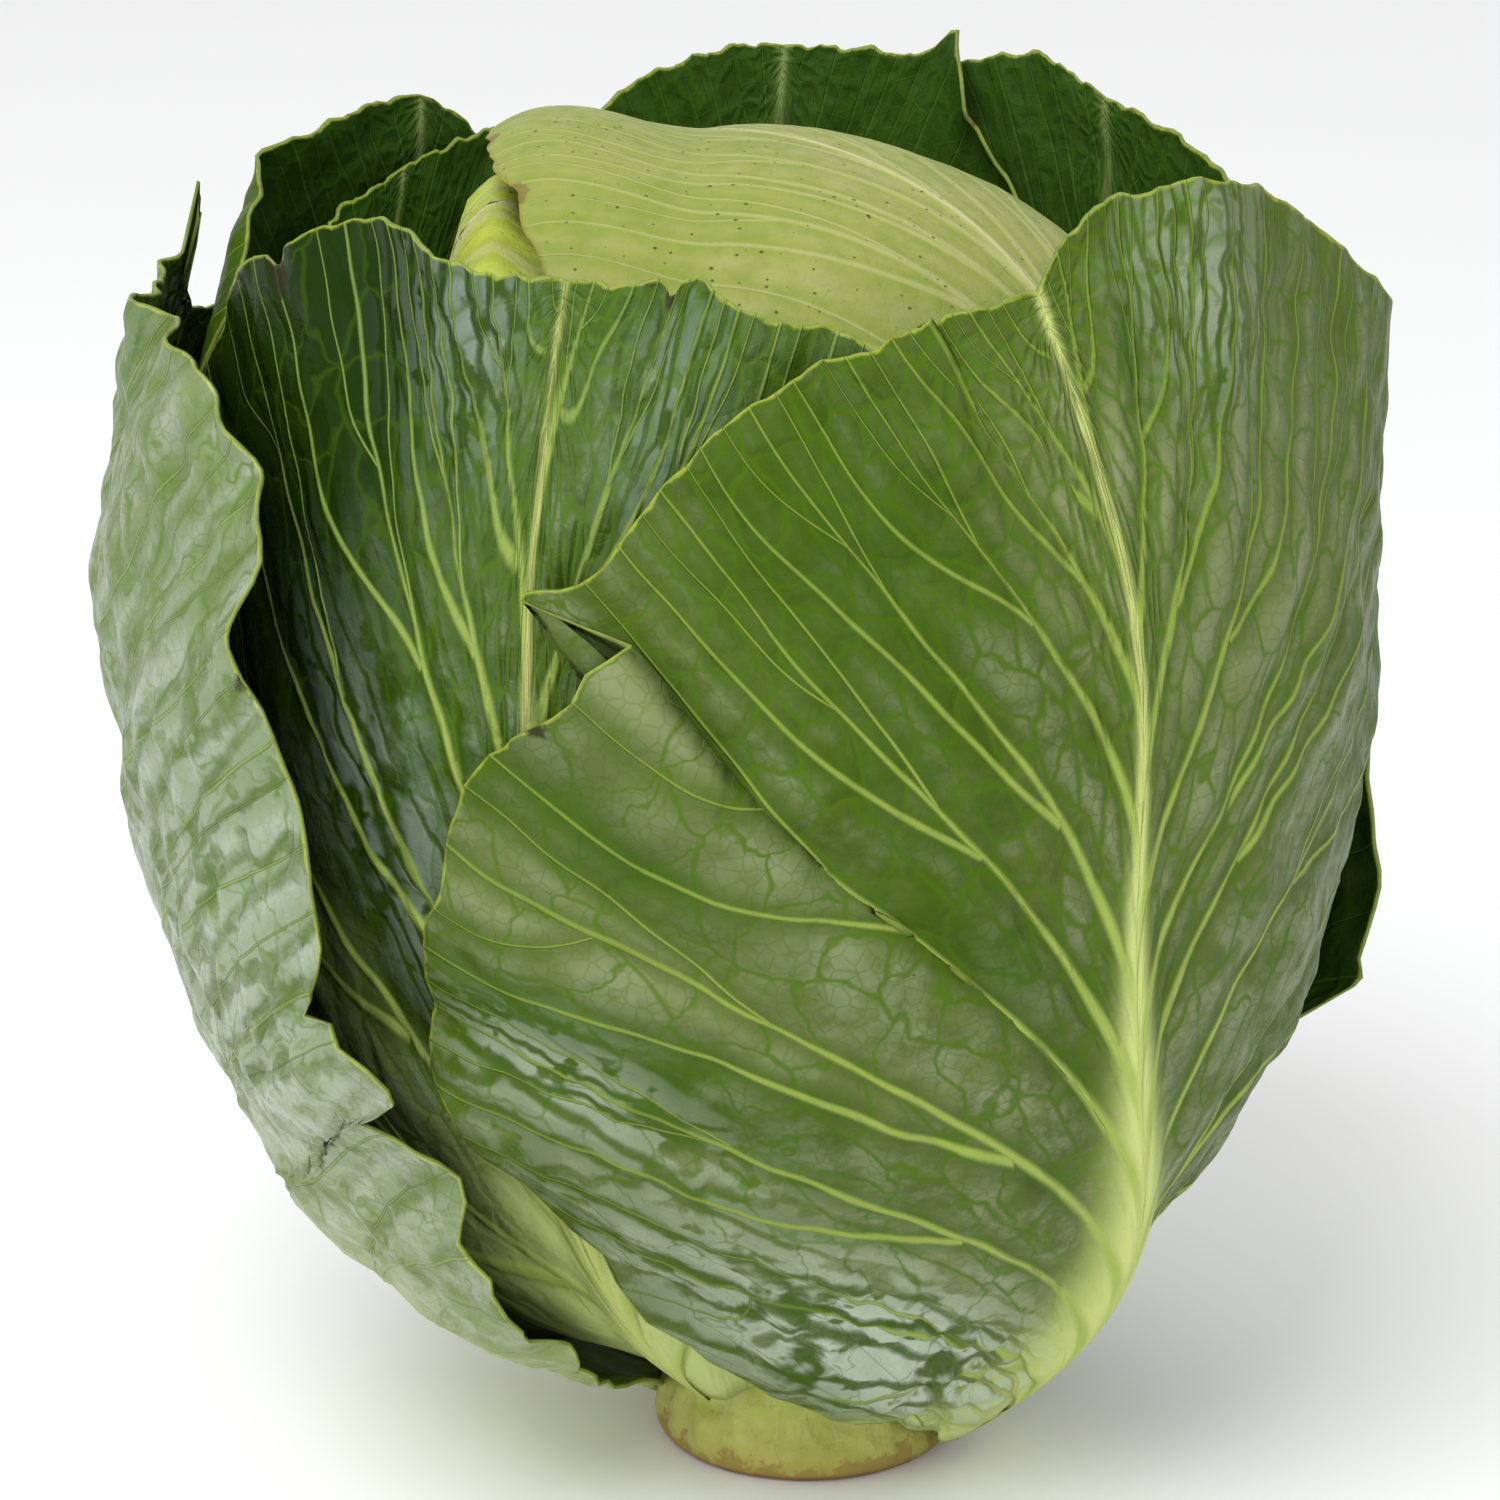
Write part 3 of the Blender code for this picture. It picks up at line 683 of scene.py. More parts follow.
def rimSkin(name, colour):
    material, tree, shader = newMaterial(name)
    point = objectPoint(tree)
    worn = ramp(tree, cloud(tree, point, 11, 3.0, 0.6), 0.62, 0.72)
    shade = ramp(tree, cloud(tree, point, 4, 2.0), 0.3, 0.7)
    green = blendColour(tree, shade, colour, tuple(0.7 * part for part in colour))
    wire(tree, shader.inputs["Base Color"], blendColour(tree, worn, green, (0.10, 0.06, 0.02)))
    shader.inputs["Roughness"].default_value = 0.5
    return material


# Looks. Each layer of the skin has its strength and its colour. The wax bloom is a noise that starts
# at waxFrom and is full at waxTo, and the net has so many meshes across a half blade and up a cell.

# Of the spots' colours, the glint one is a painted bluish-white highlight, the dark one is painted shade and
# the lighter one is painted light, which on the heart is the cap tip's own yellow-brown
outerLook = {
    "blade": (0.088, 0.138, 0.008), "bladeLight": (0.130, 0.182, 0.026), "bladeDark": (0.046, 0.092, 0.003),
    "paintedShadeColour": (0.034, 0.080, 0.003), "band": 0.6, "bandColour": (0.060, 0.120, 0.002),
    "wax": 0.85, "waxFrom": 0.33, "waxTo": 0.60, "waxColour": (0.155, 0.20, 0.080),
    "paintedGlintColour": (0.34, 0.41, 0.31), "paintedLightOrTipColour": (0.17, 0.235, 0.05),
    "net": 0.75, "netColour": (0.060, 0.125, 0.003), "netAcross": 12.0, "netUp": 2.4,
    "vein": 0.9, "veinColour": (0.17, 0.255, 0.028), "veinBase": (0.32, 0.41, 0.085),
    "pale": (0.30, 0.385, 0.075), "middle": 0.9, "middleColour": (0.44, 0.48, 0.14),
    "rim": (0.27, 0.33, 0.04), "scarDepth": 0.9, "scarColour": (0.022, 0.019, 0.006),
    "specks": 0.16, "speckGap": 9.0, "speckSize": 0.32, "rough": 0.36, "shine": 0.16,
    "swell": 0.45, "veinHeight": 0.35, "panelHeight": 0.6, "uneven": 0.5,
    "side": -1,   # -1 is the outside of the head, where the net is sunk and the blisters under the painted glints stand out
    "seed": 0.0,
}
innerLook = {
    **outerLook,
    "blade": (0.020, 0.055, 0.004), "bladeLight": (0.032, 0.075, 0.007), "bladeDark": (0.012, 0.038, 0.002),
    "paintedShadeColour": (0.010, 0.030, 0.002), "band": 0.3, "bandColour": (0.025, 0.075, 0.003),
    "wax": 0.30, "waxColour": (0.07, 0.10, 0.045), "net": 0.3, "netColour": (0.05, 0.12, 0.012),
    "vein": 0.6, "veinColour": (0.07, 0.14, 0.02), "veinBase": (0.16, 0.26, 0.06),
    "pale": (0.14, 0.22, 0.045), "middleColour": (0.24, 0.31, 0.10), "swell": -0.3, "veinHeight": -0.25,
    "panelHeight": -0.4, "rough": 0.38, "side": 1, "seed": 31.0,
}
innerSkin = leafSkin("leafInside", innerLook)
edgeSkin = rimSkin("leafEdge", (0.19, 0.26, 0.03))


def wrapperLeaf(name, node, leaf, look):
    skin = leafSkin(name + "Skin", {**outerLook, **look, "seed": float(leaf["seed"])})
    piece = makeBlade(name, leaf, guidedSurface(leaf), [skin, innerSkin, edgeSkin])
    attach(piece, "root")
    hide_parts(node)
    print(name, "made")


# The wrapper leaves. rib is the ridge's half width and height at the stump, and the edges and the
# midrib are guides. An outline is (place along the margin, mm that it grows), a wave is (mm, count,
# phase), and a pleat or a curl has its place and width along the margin. spotMask reads the spots.

frontRight = {
    "rib": (18.0, 8.5),
    "leftEdge": [(20, 30, 13), (-16, 57, 38), (-38, 97, 90), (-42, 112, 128), (-38, 117, 172),
                 (-28, 118, 222)],
    "midrib": [(66, 30, 12), (57, 63, 41), (38, 97, 97), (31, 112, 152), (28.5, 117, 206), (20, 108, 268)],
    "rightHalf": [(88, 30, 12), (77, 59, 38), (72, 93, 92), (72, 108, 146), (70, 112, 205), (54, 110, 279)],
    "rightEdge": [(110, 30, 12), (103, 58, 36), (112, 94, 82), (116, 109, 132), (114, 113, 190),
                  (104, 110, 237)],
    "waveLeft": (1.8, 7, 0.4), "waveRight": (2.0, 5, 0.2), "squareness": (3.4, 5.0),
    "outlineLeft": [(0, 0), (0.155, 0), (0.165, 5), (0.175, 4), (0.185, 0), (0.21, 2), (0.28, 2), (0.36, 3),
                    (0.40, 3), (0.41, 1.5), (0.44, 6.5), (0.48, 6), (0.50, 2.5), (0.52, -2), (0.541, -4),
                    (0.543, 23), (0.549, 24), (0.556, 18), (0.566, 14), (0.58, 12), (0.63, 13.5),
                    (0.67, 12.5), (0.75, 7), (0.82, 1), (0.86, 0), (0.93, -3), (1, -5)],
    "outlineRight": [(0, 0), (0.05, 12), (0.12, 19), (0.19, 15), (0.27, 3), (0.33, 0), (0.46, 0),
                     (0.51, -4), (0.56, -11), (0.61, -13), (0.66, -11), (0.71, -6.5), (0.78, -1.5),
                     (0.84, 0.5), (0.93, 2), (0.97, -2), (1, -5)],
    "pleatsLeft": [{"place": 0.542, "width": 0.16, "lift": 11, "slide": 11, "from": 0.56},
                   {"place": 0.175, "width": 0.03, "lift": 5, "slide": 1, "from": 0.85},
                   {"place": 0.865, "width": 0.05, "lift": 1.8, "slide": 3, "from": 0.7}],
    # bluish-white glints painted on blistered patches
    "blisterGlint": [(-1, 0.075, 0.56, 0.07, 0.33, 1.4), (-1, 0.20, 0.85, 0.03, 0.14, 0.6),
              (1, 0.75, 0.85, 0.10, 0.20, 0.45)],
    # patches of painted shade
    "paintedShade": [(-1, 0.60, 0.72, 0.13, 0.30, 0.75), (-1, 0.34, 0.85, 0.03, 0.25, 0.7),
             (-1, 0.23, 0.80, 0.025, 0.25, 0.7), (-1, 0.44, 0.35, 0.06, 0.18, 0.6),
             (1, 0.30, 0.80, 0.13, 0.25, 0.5), (1, 0.85, 0.66, 0.025, 0.14, 0.8),
             (1, 0.72, 0.74, 0.02, 0.10, 0.7)],
    "scar": [(-1, 0.36, 1.0, 0.004, 0.02, 0.8)],
    # patches of painted light
    "light": [(-1, 0.395, 0.95, 0.014, 0.16, 1.0), (-1, 0.36, 0.75, 0.03, 0.30, 0.6),
              (-1, 0.29, 0.75, 0.03, 0.30, 0.8), (-1, 0.16, 0.45, 0.04, 0.35, 0.7),
              (-1, 0.82, 0.55, 0.06, 0.35, 0.5), (1, 0.88, 0.30, 0.12, 0.35, 0.7),
              (-1, 0.90, 0.32, 0.10, 0.42, 1.0), (1, 0.62, 0.58, 0.25, 0.40, 0.75)],
    "veins": 10, "rowsPerVein": 16, "columns": 90, "veinWidth": 1.5, "relief": 1.3, "pucker": 2.2,
    "crumple": 0.5, "seed": 5, "lean": 0.68, "wing": (37, 1.0, 4.0), "paleBase": 0.08,
}
wrapperLeaf("leafFrontRight", "leaf_front_right", frontRight, {
    "pale": (0.56, 0.63, 0.21), "middleColour": (0.48, 0.54, 0.17), "waxFrom": 0.38, "waxTo": 0.66,
    "blade": (0.062, 0.096, 0.009), "bladeLight": (0.098, 0.132, 0.028), "bladeDark": (0.030, 0.062, 0.004),
    "waxColour": (0.185, 0.22, 0.105), "paintedLightOrTipColour": (0.19, 0.22, 0.088), "paintedGlintColour": (0.40, 0.47, 0.36),
    "bandColour": (0.045, 0.086, 0.003), "veinColour": (0.155, 0.23, 0.030),
})

frontLeft = {
    "rib": (12.0, 7.0),
    "leftEdge": [(-97, 29, 18), (-92, 68, 38), (-88, 102, 86), (-87, 114, 140), (-86, 118, 200),
                 (-84, 119, 251)],
    "leftHalf": [(-67, 29.5, 21), (-63, 66, 42), (-59, 97, 89), (-58, 110, 140), (-57, 114, 200),
                 (-52, 112, 268)],
    "midrib": [(-38, 29, 24), (-36, 58, 48), (-32, 86, 90), (-29, 103, 140), (-27, 111, 202),
               (-24, 106, 268)],
    "rightEdge": [(-8, 29, 24), (8, 55, 48), (28, 84, 92), (36, 102, 140), (32, 108, 200), (22, 103, 256)],
    "waveLeft": (2.0, 5, 0.0), "waveRight": (1.6, 6, 0.6),
    "outlineLeft": [(0, 10), (0.05, 22), (0.10, 26), (0.17, 24), (0.25, 17), (0.33, 9), (0.40, 3),
                    (0.45, 2), (0.53, 5), (0.58, 6), (0.62, 2), (0.645, 1), (0.652, -2), (0.66, -2.5),
                    (0.668, 0), (0.73, 2), (0.81, 0), (0.84, -4), (0.87, -4), (0.91, -6), (0.94, -4.5),
                    (1, -4)],
    "outlineRight": [(0, 0), (0.6, 0), (0.70, -3), (0.74, -5), (0.77, -3.3), (0.83, 0), (0.85, -0.5),
                     (0.857, -3), (0.866, -3.5), (0.873, -1), (0.91, -3), (1, -4)],
    # bluish-white glints painted on blistered patches
    "blisterGlint": [(-1, 0.80, 0.85, 0.12, 0.25, 0.6), (1, 0.72, 0.80, 0.10, 0.25, 0.4),
              (-1, 0.42, 0.45, 0.10, 0.20, 0.5)],
    # patches of painted shade, darkest along the left border beside the outer leaf
    "paintedShade": [(-1, 0.45, 0.90, 0.20, 0.38, 1.0), (-1, 0.62, 1.0, 0.22, 0.28, 1.0),
             (-1, 0.36, 0.45, 0.07, 0.30, 0.6), (1, 0.62, 0.55, 0.10, 0.20, 0.4)],
    # patches of painted light, most of it on the base, which lies in shade
    "light": [(-1, 0.08, 0.5, 0.13, 0.6, 1.0), (1, 0.08, 0.5, 0.13, 0.6, 1.0),
              (-1, 0.23, 0.55, 0.05, 0.35, 0.6)],
    "scar": [(-1, 0.494, 1.0, 0.010, 0.035, 1.0), (1, 0.781, 1.0, 0.010, 0.035, 1.0),
             (-1, 0.60, 0.35, 0.005, 0.015, 0.9)],
    "veins": 7, "rowsPerVein": 19, "columns": 75, "veinWidth": 1.8, "relief": 1.2, "pucker": 1.6,
    "crumple": 0.4, "seed": 12, "lean": 0.6, "wing": (75, 0.8, 3.6), "middle": 0.6, "paleBase": 0.36,
}
wrapperLeaf("leafFrontLeft", "leaf_front_left", frontLeft, {
    "blade": (0.042, 0.082, 0.004), "bladeLight": (0.070, 0.115, 0.015), "bladeDark": (0.022, 0.055, 0.003),
    "paintedShadeColour": (0.010, 0.026, 0.001), "bandColour": (0.035, 0.085, 0.002),
    "wax": 0.75, "waxFrom": 0.42, "waxTo": 0.60, "waxColour": (0.14, 0.195, 0.09),
    "veinColour": (0.15, 0.225, 0.045), "pale": (0.46, 0.53, 0.18), "paintedLightOrTipColour": (0.30, 0.37, 0.12),
    "paintedGlintColour": (0.25, 0.31, 0.26), "rough": 0.26, "shine": 0.35,
})

leftOuter = {
    "rib": (13.0, 7.0),
    "leftEdge": [(-137, 30, 14), (-150, 80, 38), (-160, 108, 84), (-164, 124, 136), (-163, 130, 184),
                 (-156, 128, 220)],
    "midrib": [(-105, 30, 14), (-104, 86, 35), (-104, 118, 82), (-104, 133, 134), (-104, 137.5, 190),
               (-108, 127, 240)],
    "rightEdge": [(-73, 30, 14), (-46, 70, 36), (-44, 108, 84), (-43, 127, 134), (-43, 134, 190),
                  (-42, 126, 252)],
    "waveLeft": (2.5, 6, 0.2), "waveRight": (2.5, 7, 0.0),
    "outlineLeft": [(0, 0), (0.50, -3), (0.60, -10), (0.70, -13), (0.84, -16), (1, -14)],
    "outlineRight": [(0, 0), (0.05, 4), (0.09, 10), (0.105, 4), (0.12, 11), (0.145, 9), (0.158, 3),
                     (0.175, 12), (0.20, 10), (0.215, 4), (0.23, 11), (0.25, 8), (0.265, 3), (0.277, -7),
                     (0.285, 9), (0.295, 11), (0.31, 7), (0.32, -2), (0.33, -10), (0.345, -3), (0.38, 0),
                     (0.40, -1), (0.43, -2), (0.455, -3.5), (0.48, 1), (0.50, 4), (0.53, 4), (0.57, 3),
                     (0.62, 1), (0.75, -2), (0.88, -2), (0.918, 0), (0.926, 2), (0.931, 20), (0.938, 0),
                     (0.945, -5), (0.96, -8), (1, -14)],
    "pleatsRight": [{"place": 0.318, "width": 0.045, "lift": 7, "slide": 3, "from": 0.6},
                    {"place": 0.237, "width": 0.04, "lift": 4, "slide": 2, "from": 0.7},
                    {"place": 0.192, "width": 0.04, "lift": 3, "slide": 2, "from": 0.75}],
    # bluish-white glints painted on blistered patches
    "blisterGlint": [(1, 0.80, 0.55, 0.18, 0.5, 0.5), (1, 0.28, 0.75, 0.16, 0.5, 0.55),
              (-1, 0.45, 0.5, 0.4, 0.7, 0.35)],
    "scar": [(1, 0.914, 1.0, 0.010, 0.10, 1.0), (1, 0.37, 1.0, 0.004, 0.02, 0.8)],
    "stalk": [(-1, 0.10, 0.3, 0.16, 0.45, 0.9), (1, 0.10, 0.25, 0.16, 0.42, 0.95),
              (1, 0.04, 0.5, 0.05, 0.6, 0.8)],
    "veins": 10, "rowsPerVein": 18, "columns": 80, "veinWidth": 1.2, "relief": 1.2, "pucker": 2.2,
    "crumple": 0.8, "seed": 21, "wing": (66, 2.0, 3.4), "frill": [(1.5, 11.0, 0.3), (0.9, 23.0, 0.6)],
}
wrapperLeaf("leafLeftOuter", "leaf_left_outer", leftOuter, {
    "blade": (0.12, 0.175, 0.035), "bladeLight": (0.155, 0.21, 0.06), "bladeDark": (0.08, 0.135, 0.015),
    "wax": 0.9, "waxFrom": 0.34, "waxTo": 0.60, "waxColour": (0.25, 0.30, 0.20), "swell": 0.35,
    "net": 0.9, "netColour": (0.095, 0.165, 0.022), "netAcross": 7.5, "netUp": 2.4,
    "band": 0.5, "bandColour": (0.085, 0.15, 0.018), "veinColour": (0.20, 0.28, 0.06),
    "rim": (0.33, 0.36, 0.06), "pale": (0.40, 0.46, 0.15), "rough": 0.28, "shine": 0.5,
})

backLeft = {
    "rib": (11.0, 6.0),
    "leftEdge": [(-188, 28.9, 27), (-194, 64, 46), (-191, 97, 92), (-185, 116, 142), (-178, 120, 198),
                 (-170, 117, 240)],
    "midrib": [(-160, 28.9, 27), (-152, 66, 42), (-145, 101, 88), (-140, 117, 140), (-137, 120, 205),
               (-136, 115, 263)],
    "rightEdge": [(-132, 28.9, 27), (-112, 68, 46), (-102, 104, 92), (-97, 119.5, 140), (-92, 122.5, 200),
                  (-91, 121, 250)],
    "waveLeft": (3.0, 4, 0.1), "waveRight": (1.5, 4, 0.5), "squareness": (5.0, 6.0),
    "outlineLeft": [(0, 0), (0.60, 0), (0.71, -8), (0.79, -10), (0.84, -9), (0.88, -6), (0.92, -3),
                    (0.97, 0), (1, 1)],
    "curlsRight": [{"place": 0.58, "width": 0.10, "from": 0.88, "turn": -0.25}],
    "outlineRight": [(0, 0), (0.45, 2), (0.53, 8), (0.57, 10), (0.62, 8), (0.66, 6), (0.71, 4), (0.79, 2),
                     (0.86, 2), (0.93, 1), (1, 1)],
    # a patch of painted shade
    "paintedShade": [(1, 0.55, 1.0, 0.25, 0.25, 0.9)],
    "veins": 8, "rowsPerVein": 12, "columns": 56, "veinWidth": 1.1, "relief": 1.1, "pucker": 1.4,
    "crumple": 0.5, "seed": 33,
}
wrapperLeaf("leafBackLeft", "leaf_back_left", backLeft, {})

backLeftInner = {
    "rib": (10.0, 5.0),
    "leftEdge": [(-128, 23.5, 50), (-140, 53, 70), (-153, 81, 105), (-159, 98, 150), (-160, 102, 205),
                 (-160, 101, 266)],
    "midrib": [(-100, 23.5, 49), (-108, 55, 67), (-118, 86, 101), (-122, 102, 147), (-124, 106, 200),
               (-128, 105, 252)],
    "rightEdge": [(-72, 23.5, 49), (-72, 52, 68), (-80, 82, 102), (-86, 100, 147), (-90, 106, 192),
                  (-98, 108, 234)],
    "waveLeft": (1.0, 4, 0.3), "waveRight": (1.2, 4, 0.0),
    "veins": 8, "rowsPerVein": 12, "columns": 44, "veinWidth": 1.0, "relief": 1.0, "pucker": 1.0,
    "crumple": 0.3, "seed": 41,
}
wrapperLeaf("leafBackLeftInner", "leaf_back_left_inner", backLeftInner, {})

backCentre = {
    "rib": (10.0, 5.0),
    "leftEdge": [(154, 25.4, 42), (147, 55, 61), (145, 86, 101), (146, 102, 150), (146, 107, 205),
                 (146, 109, 262)],
    "midrib": [(180, 25.4, 41), (181, 58, 59), (183, 91, 99), (184, 107, 148), (184, 113, 205),
               (182, 112, 271)],
    "rightEdge": [(206, 25.4, 42), (212, 57, 61), (214, 89, 101), (214, 107, 150), (214, 111, 205),
                  (216, 112, 256)],
    "waveLeft": (1.0, 4, 0.1), "waveRight": (1.0, 4, 0.4),
    "outlineLeft": [(0, 0), (0.55, 0), (0.60, -3), (0.64, -2), (0.67, 2), (0.70, 6), (0.712, 12),
                    (0.735, 4), (0.76, 0), (0.92, -1.5), (1, -1.5)],
    "outlineRight": [(0, 0), (0.9, 0), (1, -1.5)],
    "curlsLeft": [{"place": 0.57, "width": 0.12, "from": 0.90, "turn": -0.3}],
    "veins": 8, "rowsPerVein": 14, "columns": 52, "veinWidth": 1.0, "relief": 1.0, "pucker": 1.0,
    "crumple": 0.3, "seed": 54,
}
wrapperLeaf("leafBackCentre", "leaf_back_centre", backCentre, {})

backRight = {
    "rib": (10.0, 5.5),
    "leftEdge": [(97, 25.2, 38), (92, 54, 56), (92, 83, 98), (93, 101, 148), (98, 106, 205),
                 (110, 107, 252)],
    "midrib": [(125, 25.2, 37), (132, 58, 53), (140, 91, 94), (144, 110, 146), (146, 117, 205),
               (147, 116, 267)],
    "rightEdge": [(151, 25.2, 38), (164, 60, 54), (171, 94, 96), (172, 112, 148), (172, 117, 205),
                  (174, 116, 262)],
    "waveLeft": (1.5, 4, 0.2), "waveRight": (1.0, 4, 0.0),
    "outlineLeft": [(0, 0), (0.40, 0), (0.48, -6), (0.57, -12), (0.66, -14), (0.75, -12), (0.84, -9),
                    (0.92, -7), (1, -6)],
    "outlineRight": [(0, 0), (0.50, 0), (0.60, 5), (0.66, 7), (0.71, 5), (0.79, 3), (0.84, 2.5), (0.88, 0),
                     (0.96, -4), (1, -6)],
    "veins": 8, "rowsPerVein": 12, "columns": 50, "veinWidth": 1.1, "relief": 1.1, "pucker": 1.2,
    "crumple": 0.4, "seed": 63,
}
wrapperLeaf("leafBackRight", "leaf_back_right", backRight, {})

rightOuter = {
    "rib": (12.0, 7.0),
    "leftEdge": [(122, 30, 14), (113, 72, 31), (106, 114, 80), (106, 120, 128), (111, 124, 180),
                 (122, 122, 228)],
    "midrib": [(150, 30, 13), (150, 74, 30), (150, 107, 78), (151, 123, 132), (152, 127, 185),
               (152, 122, 240)],
    "rightEdge": [(178, 30, 14), (188, 74, 34), (190, 105, 80), (190, 121, 132), (189, 126, 182),
                  (186, 122, 230)],
    "waveLeft": (3.0, 4, 0.0), "waveRight": (3.0, 4, 0.2),
    "outlineLeft": [(0, 0), (0.10, -6), (0.16, -12), (0.20, -20), (0.222, -24), (0.234, -9), (0.244, -12),
                    (0.256, 6), (0.27, 0), (1, 0)],
    "veins": 8, "rowsPerVein": 20, "columns": 48, "lean": 1.0, "veinWidth": 1.1, "relief": 1.1, "pucker": 1.4,
    "crumple": 0.5, "seed": 72,
}
wrapperLeaf("leafRightOuter", "leaf_right_outer", rightOuter, {})


# The heart: a tight ball, and the three leaves that close over it

heart = {
    "centre": 172, "radius": 85.3, "halfHeight": 88.8, "squareness": 2.4,   # mm
    "dent": 10,                    # mm, how much flatter it is at its upper right
    "layerGap": 2.2, "blade": 1.2,
    "foot": 0.3,                   # of a leaf's full width, at its base
}


def heartDistance(directions):
    flat = np.hypot(directions[:, 0], directions[:, 1]) / heart["radius"]
    tall = np.abs(directions[:, 2]) / heart["halfHeight"]
    distance = (flat ** heart["squareness"] + tall ** heart["squareness"]) ** (-1 / heart["squareness"])
    dent = heart["dent"] * smoothStep(directions[:, 0], -0.2, 0.7) * smoothStep(directions[:, 2], 0.1, 0.6)
    return distance - dent


def wrappedSurface(leaf):
    turn = math.radians(leaf["azimuth"])
    outward = np.array((math.sin(turn), -math.cos(turn), 0.0))
    sideways = np.array((math.cos(turn), math.sin(turn), 0.0))
    offset = leaf["layer"] * (heart["layerGap"] + heart["blade"]) - heart["blade"]

    def pointAt(across, along):
        rise = np.radians(leaf["span"][0] + (leaf["span"][1] - leaf["span"][0]) * along)
        opening = heart["foot"] + (1 - heart["foot"]) * smoothStep(along, 0.0, 0.45)
        swing = np.radians(leaf["halfWidth"]) * across * opening
        ring = np.sin(rise)[:, None] * outward - np.cos(rise)[:, None] * (0, 0, 1)
        directions = np.cos(swing)[:, None] * ring + np.sin(swing)[:, None] * sideways
        distance = heartDistance(directions) + offset
        points = directions * distance[:, None]
        # the leaf's edge stands off the ball between these distances to the left, in mm
        start, full, fall, height = leaf["flare"]
        flare = smoothStep(-points[:, 0], start, full) * (1 - smoothStep(-points[:, 0], fall, fall + 6))
        points[:, 2] += heart["centre"] + height * flare * smoothStep(points[:, 2], 10, 45)
        return points * mm

    return pointAt


heartLook = {
    **outerLook,
    "blade": (0.265, 0.295, 0.060), "bladeLight": (0.31, 0.325, 0.085), "bladeDark": (0.16, 0.22, 0.022),
    "paintedShadeColour": (0.15, 0.22, 0.02), "paintedLightOrTipColour": (0.36, 0.31, 0.07),
    "band": 0.4, "bandColour": (0.19, 0.26, 0.03), "scarDepth": 0.6, "scarColour": (0.16, 0.08, 0.02),
    "wax": 0.35, "waxColour": (0.31, 0.33, 0.13), "net": 0.10, "netColour": (0.33, 0.37, 0.12),
    "vein": 0.5, "veinColour": (0.38, 0.40, 0.14), "veinBase": (0.46, 0.46, 0.20),
    "pale": (0.36, 0.39, 0.13), "middle": 0.8, "middleColour": (0.54, 0.52, 0.26),
    "rim": (0.32, 0.31, 0.05), "specks": 0.85, "rough": 0.45, "shine": 0.25, "swell": 0.1, "veinHeight": 0.2,
    "panelHeight": 0.2, "uneven": 0.3, "speckGap": 2.5, "speckSize": 0.34,
}
heartInside = leafSkin("heartInside", {**heartLook, "blade": (0.30, 0.42, 0.05), "seed": 8.0})
heartEdge = rimSkin("heartEdge", (0.50, 0.48, 0.08))
heartLeafForm = {
    "veins": 10, "rowsPerVein": 10, "columns": 45, "veinWidth": 1.9, "relief": 0.5, "pucker": 0.3,
    "crumple": 0.1, "rib": (7.0, 0.9), "crest": 0.9, "waveLeft": (0.0, 1, 0.0), "waveRight": (0.0, 1, 0.0),
    "frill": [(0.2, 9.0, 0.3)], "paleBase": 0.1,
}


def heartLeaf(name, node, leaf, look):
    leaf = {**heartLeafForm, **leaf}
    skin = leafSkin(name + "Skin", {**heartLook, **look, "seed": float(leaf["seed"])})
    piece = makeBlade(name, leaf, wrappedSurface(leaf), [skin, heartInside, heartEdge])
    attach(piece, "root")
    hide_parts(node)
    print(name, "made")


heartBack = {
    "azimuth": 165, "span": (24, 205), "halfWidth": 72, "layer": 1, "flare": (38, 62, 90, 0), "seed": 81,
}
heartLeaf("heartLeafBack", "heart_leaf_back", heartBack, {})

heartLeft = {
    "azimuth": -75, "span": (24, 208), "halfWidth": 64, "layer": 2, "flare": (50, 61, 65, 12), "seed": 83,
}
# painted light: this leaf's blade is lighter than the other heart leaves' to make up for the shade it lies in
heartLeaf("heartLeafLeft", "heart_leaf_left", heartLeft, {
    "blade": (0.42, 0.50, 0.05), "bladeLight": (0.46, 0.53, 0.08), "bladeDark": (0.33, 0.42, 0.03),
    "wax": 0.1,
})

heartCap = {
    "azimuth": 49, "span": (26, 216), "halfWidth": 62, "layer": 3, "flare": (18, 62, 90, 17.5), "seed": 85,
    "columns": 60, "rowsPerVein": 14,
    "light": [(-1, 0.88, 1.0, 0.05, 0.12, 0.9)],
    "scar": [(-1, 0.80, 1.0, 0.012, 0.03, 1.0), (-1, 0.66, 1.0, 0.02, 0.02, 0.9),
             (-1, 0.50, 1.0, 0.02, 0.02, 0.8)],
    "outlineLeft": [(0, 0), (0.40, -8), (0.50, -20), (0.57, -25), (0.66, -18), (0.71, -14), (0.79, -5),
                    (0.84, 0), (1, 0)],
}
heartLeaf("heartLeafCap", "heart_leaf_cap", heartCap, {})


def coreSkin():
    material, tree, shader = newMaterial("heartCoreSkin")
    tone = ramp(tree, cloud(tree, objectPoint(tree), 18, 3.0), 0.35, 0.65)
    wire(tree, shader.inputs["Base Color"], blendColour(tree, tone, (0.45, 0.50, 0.18), (0.52, 0.55, 0.24)))
    shader.inputs["Roughness"].default_value = 0.45
    return material


def makeCore():
    bm = bmesh.new()
    bmesh.ops.create_uvsphere(bm, u_segments=96, v_segments=48, radius=1.0)
    mesh, ways = meshFrom(bm, "heartCore")
    points = ways * heartDistance(ways)[:, None] + (0, 0, heart["centre"])
    piece = addPiece(mesh, points * mm, [coreSkin()])
    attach(piece, "root")
    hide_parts("heart_core")
    print("heart core made")


makeCore()


# The stump: a turned body with the outer leaves' bases swelling out of it, and a dried cut face

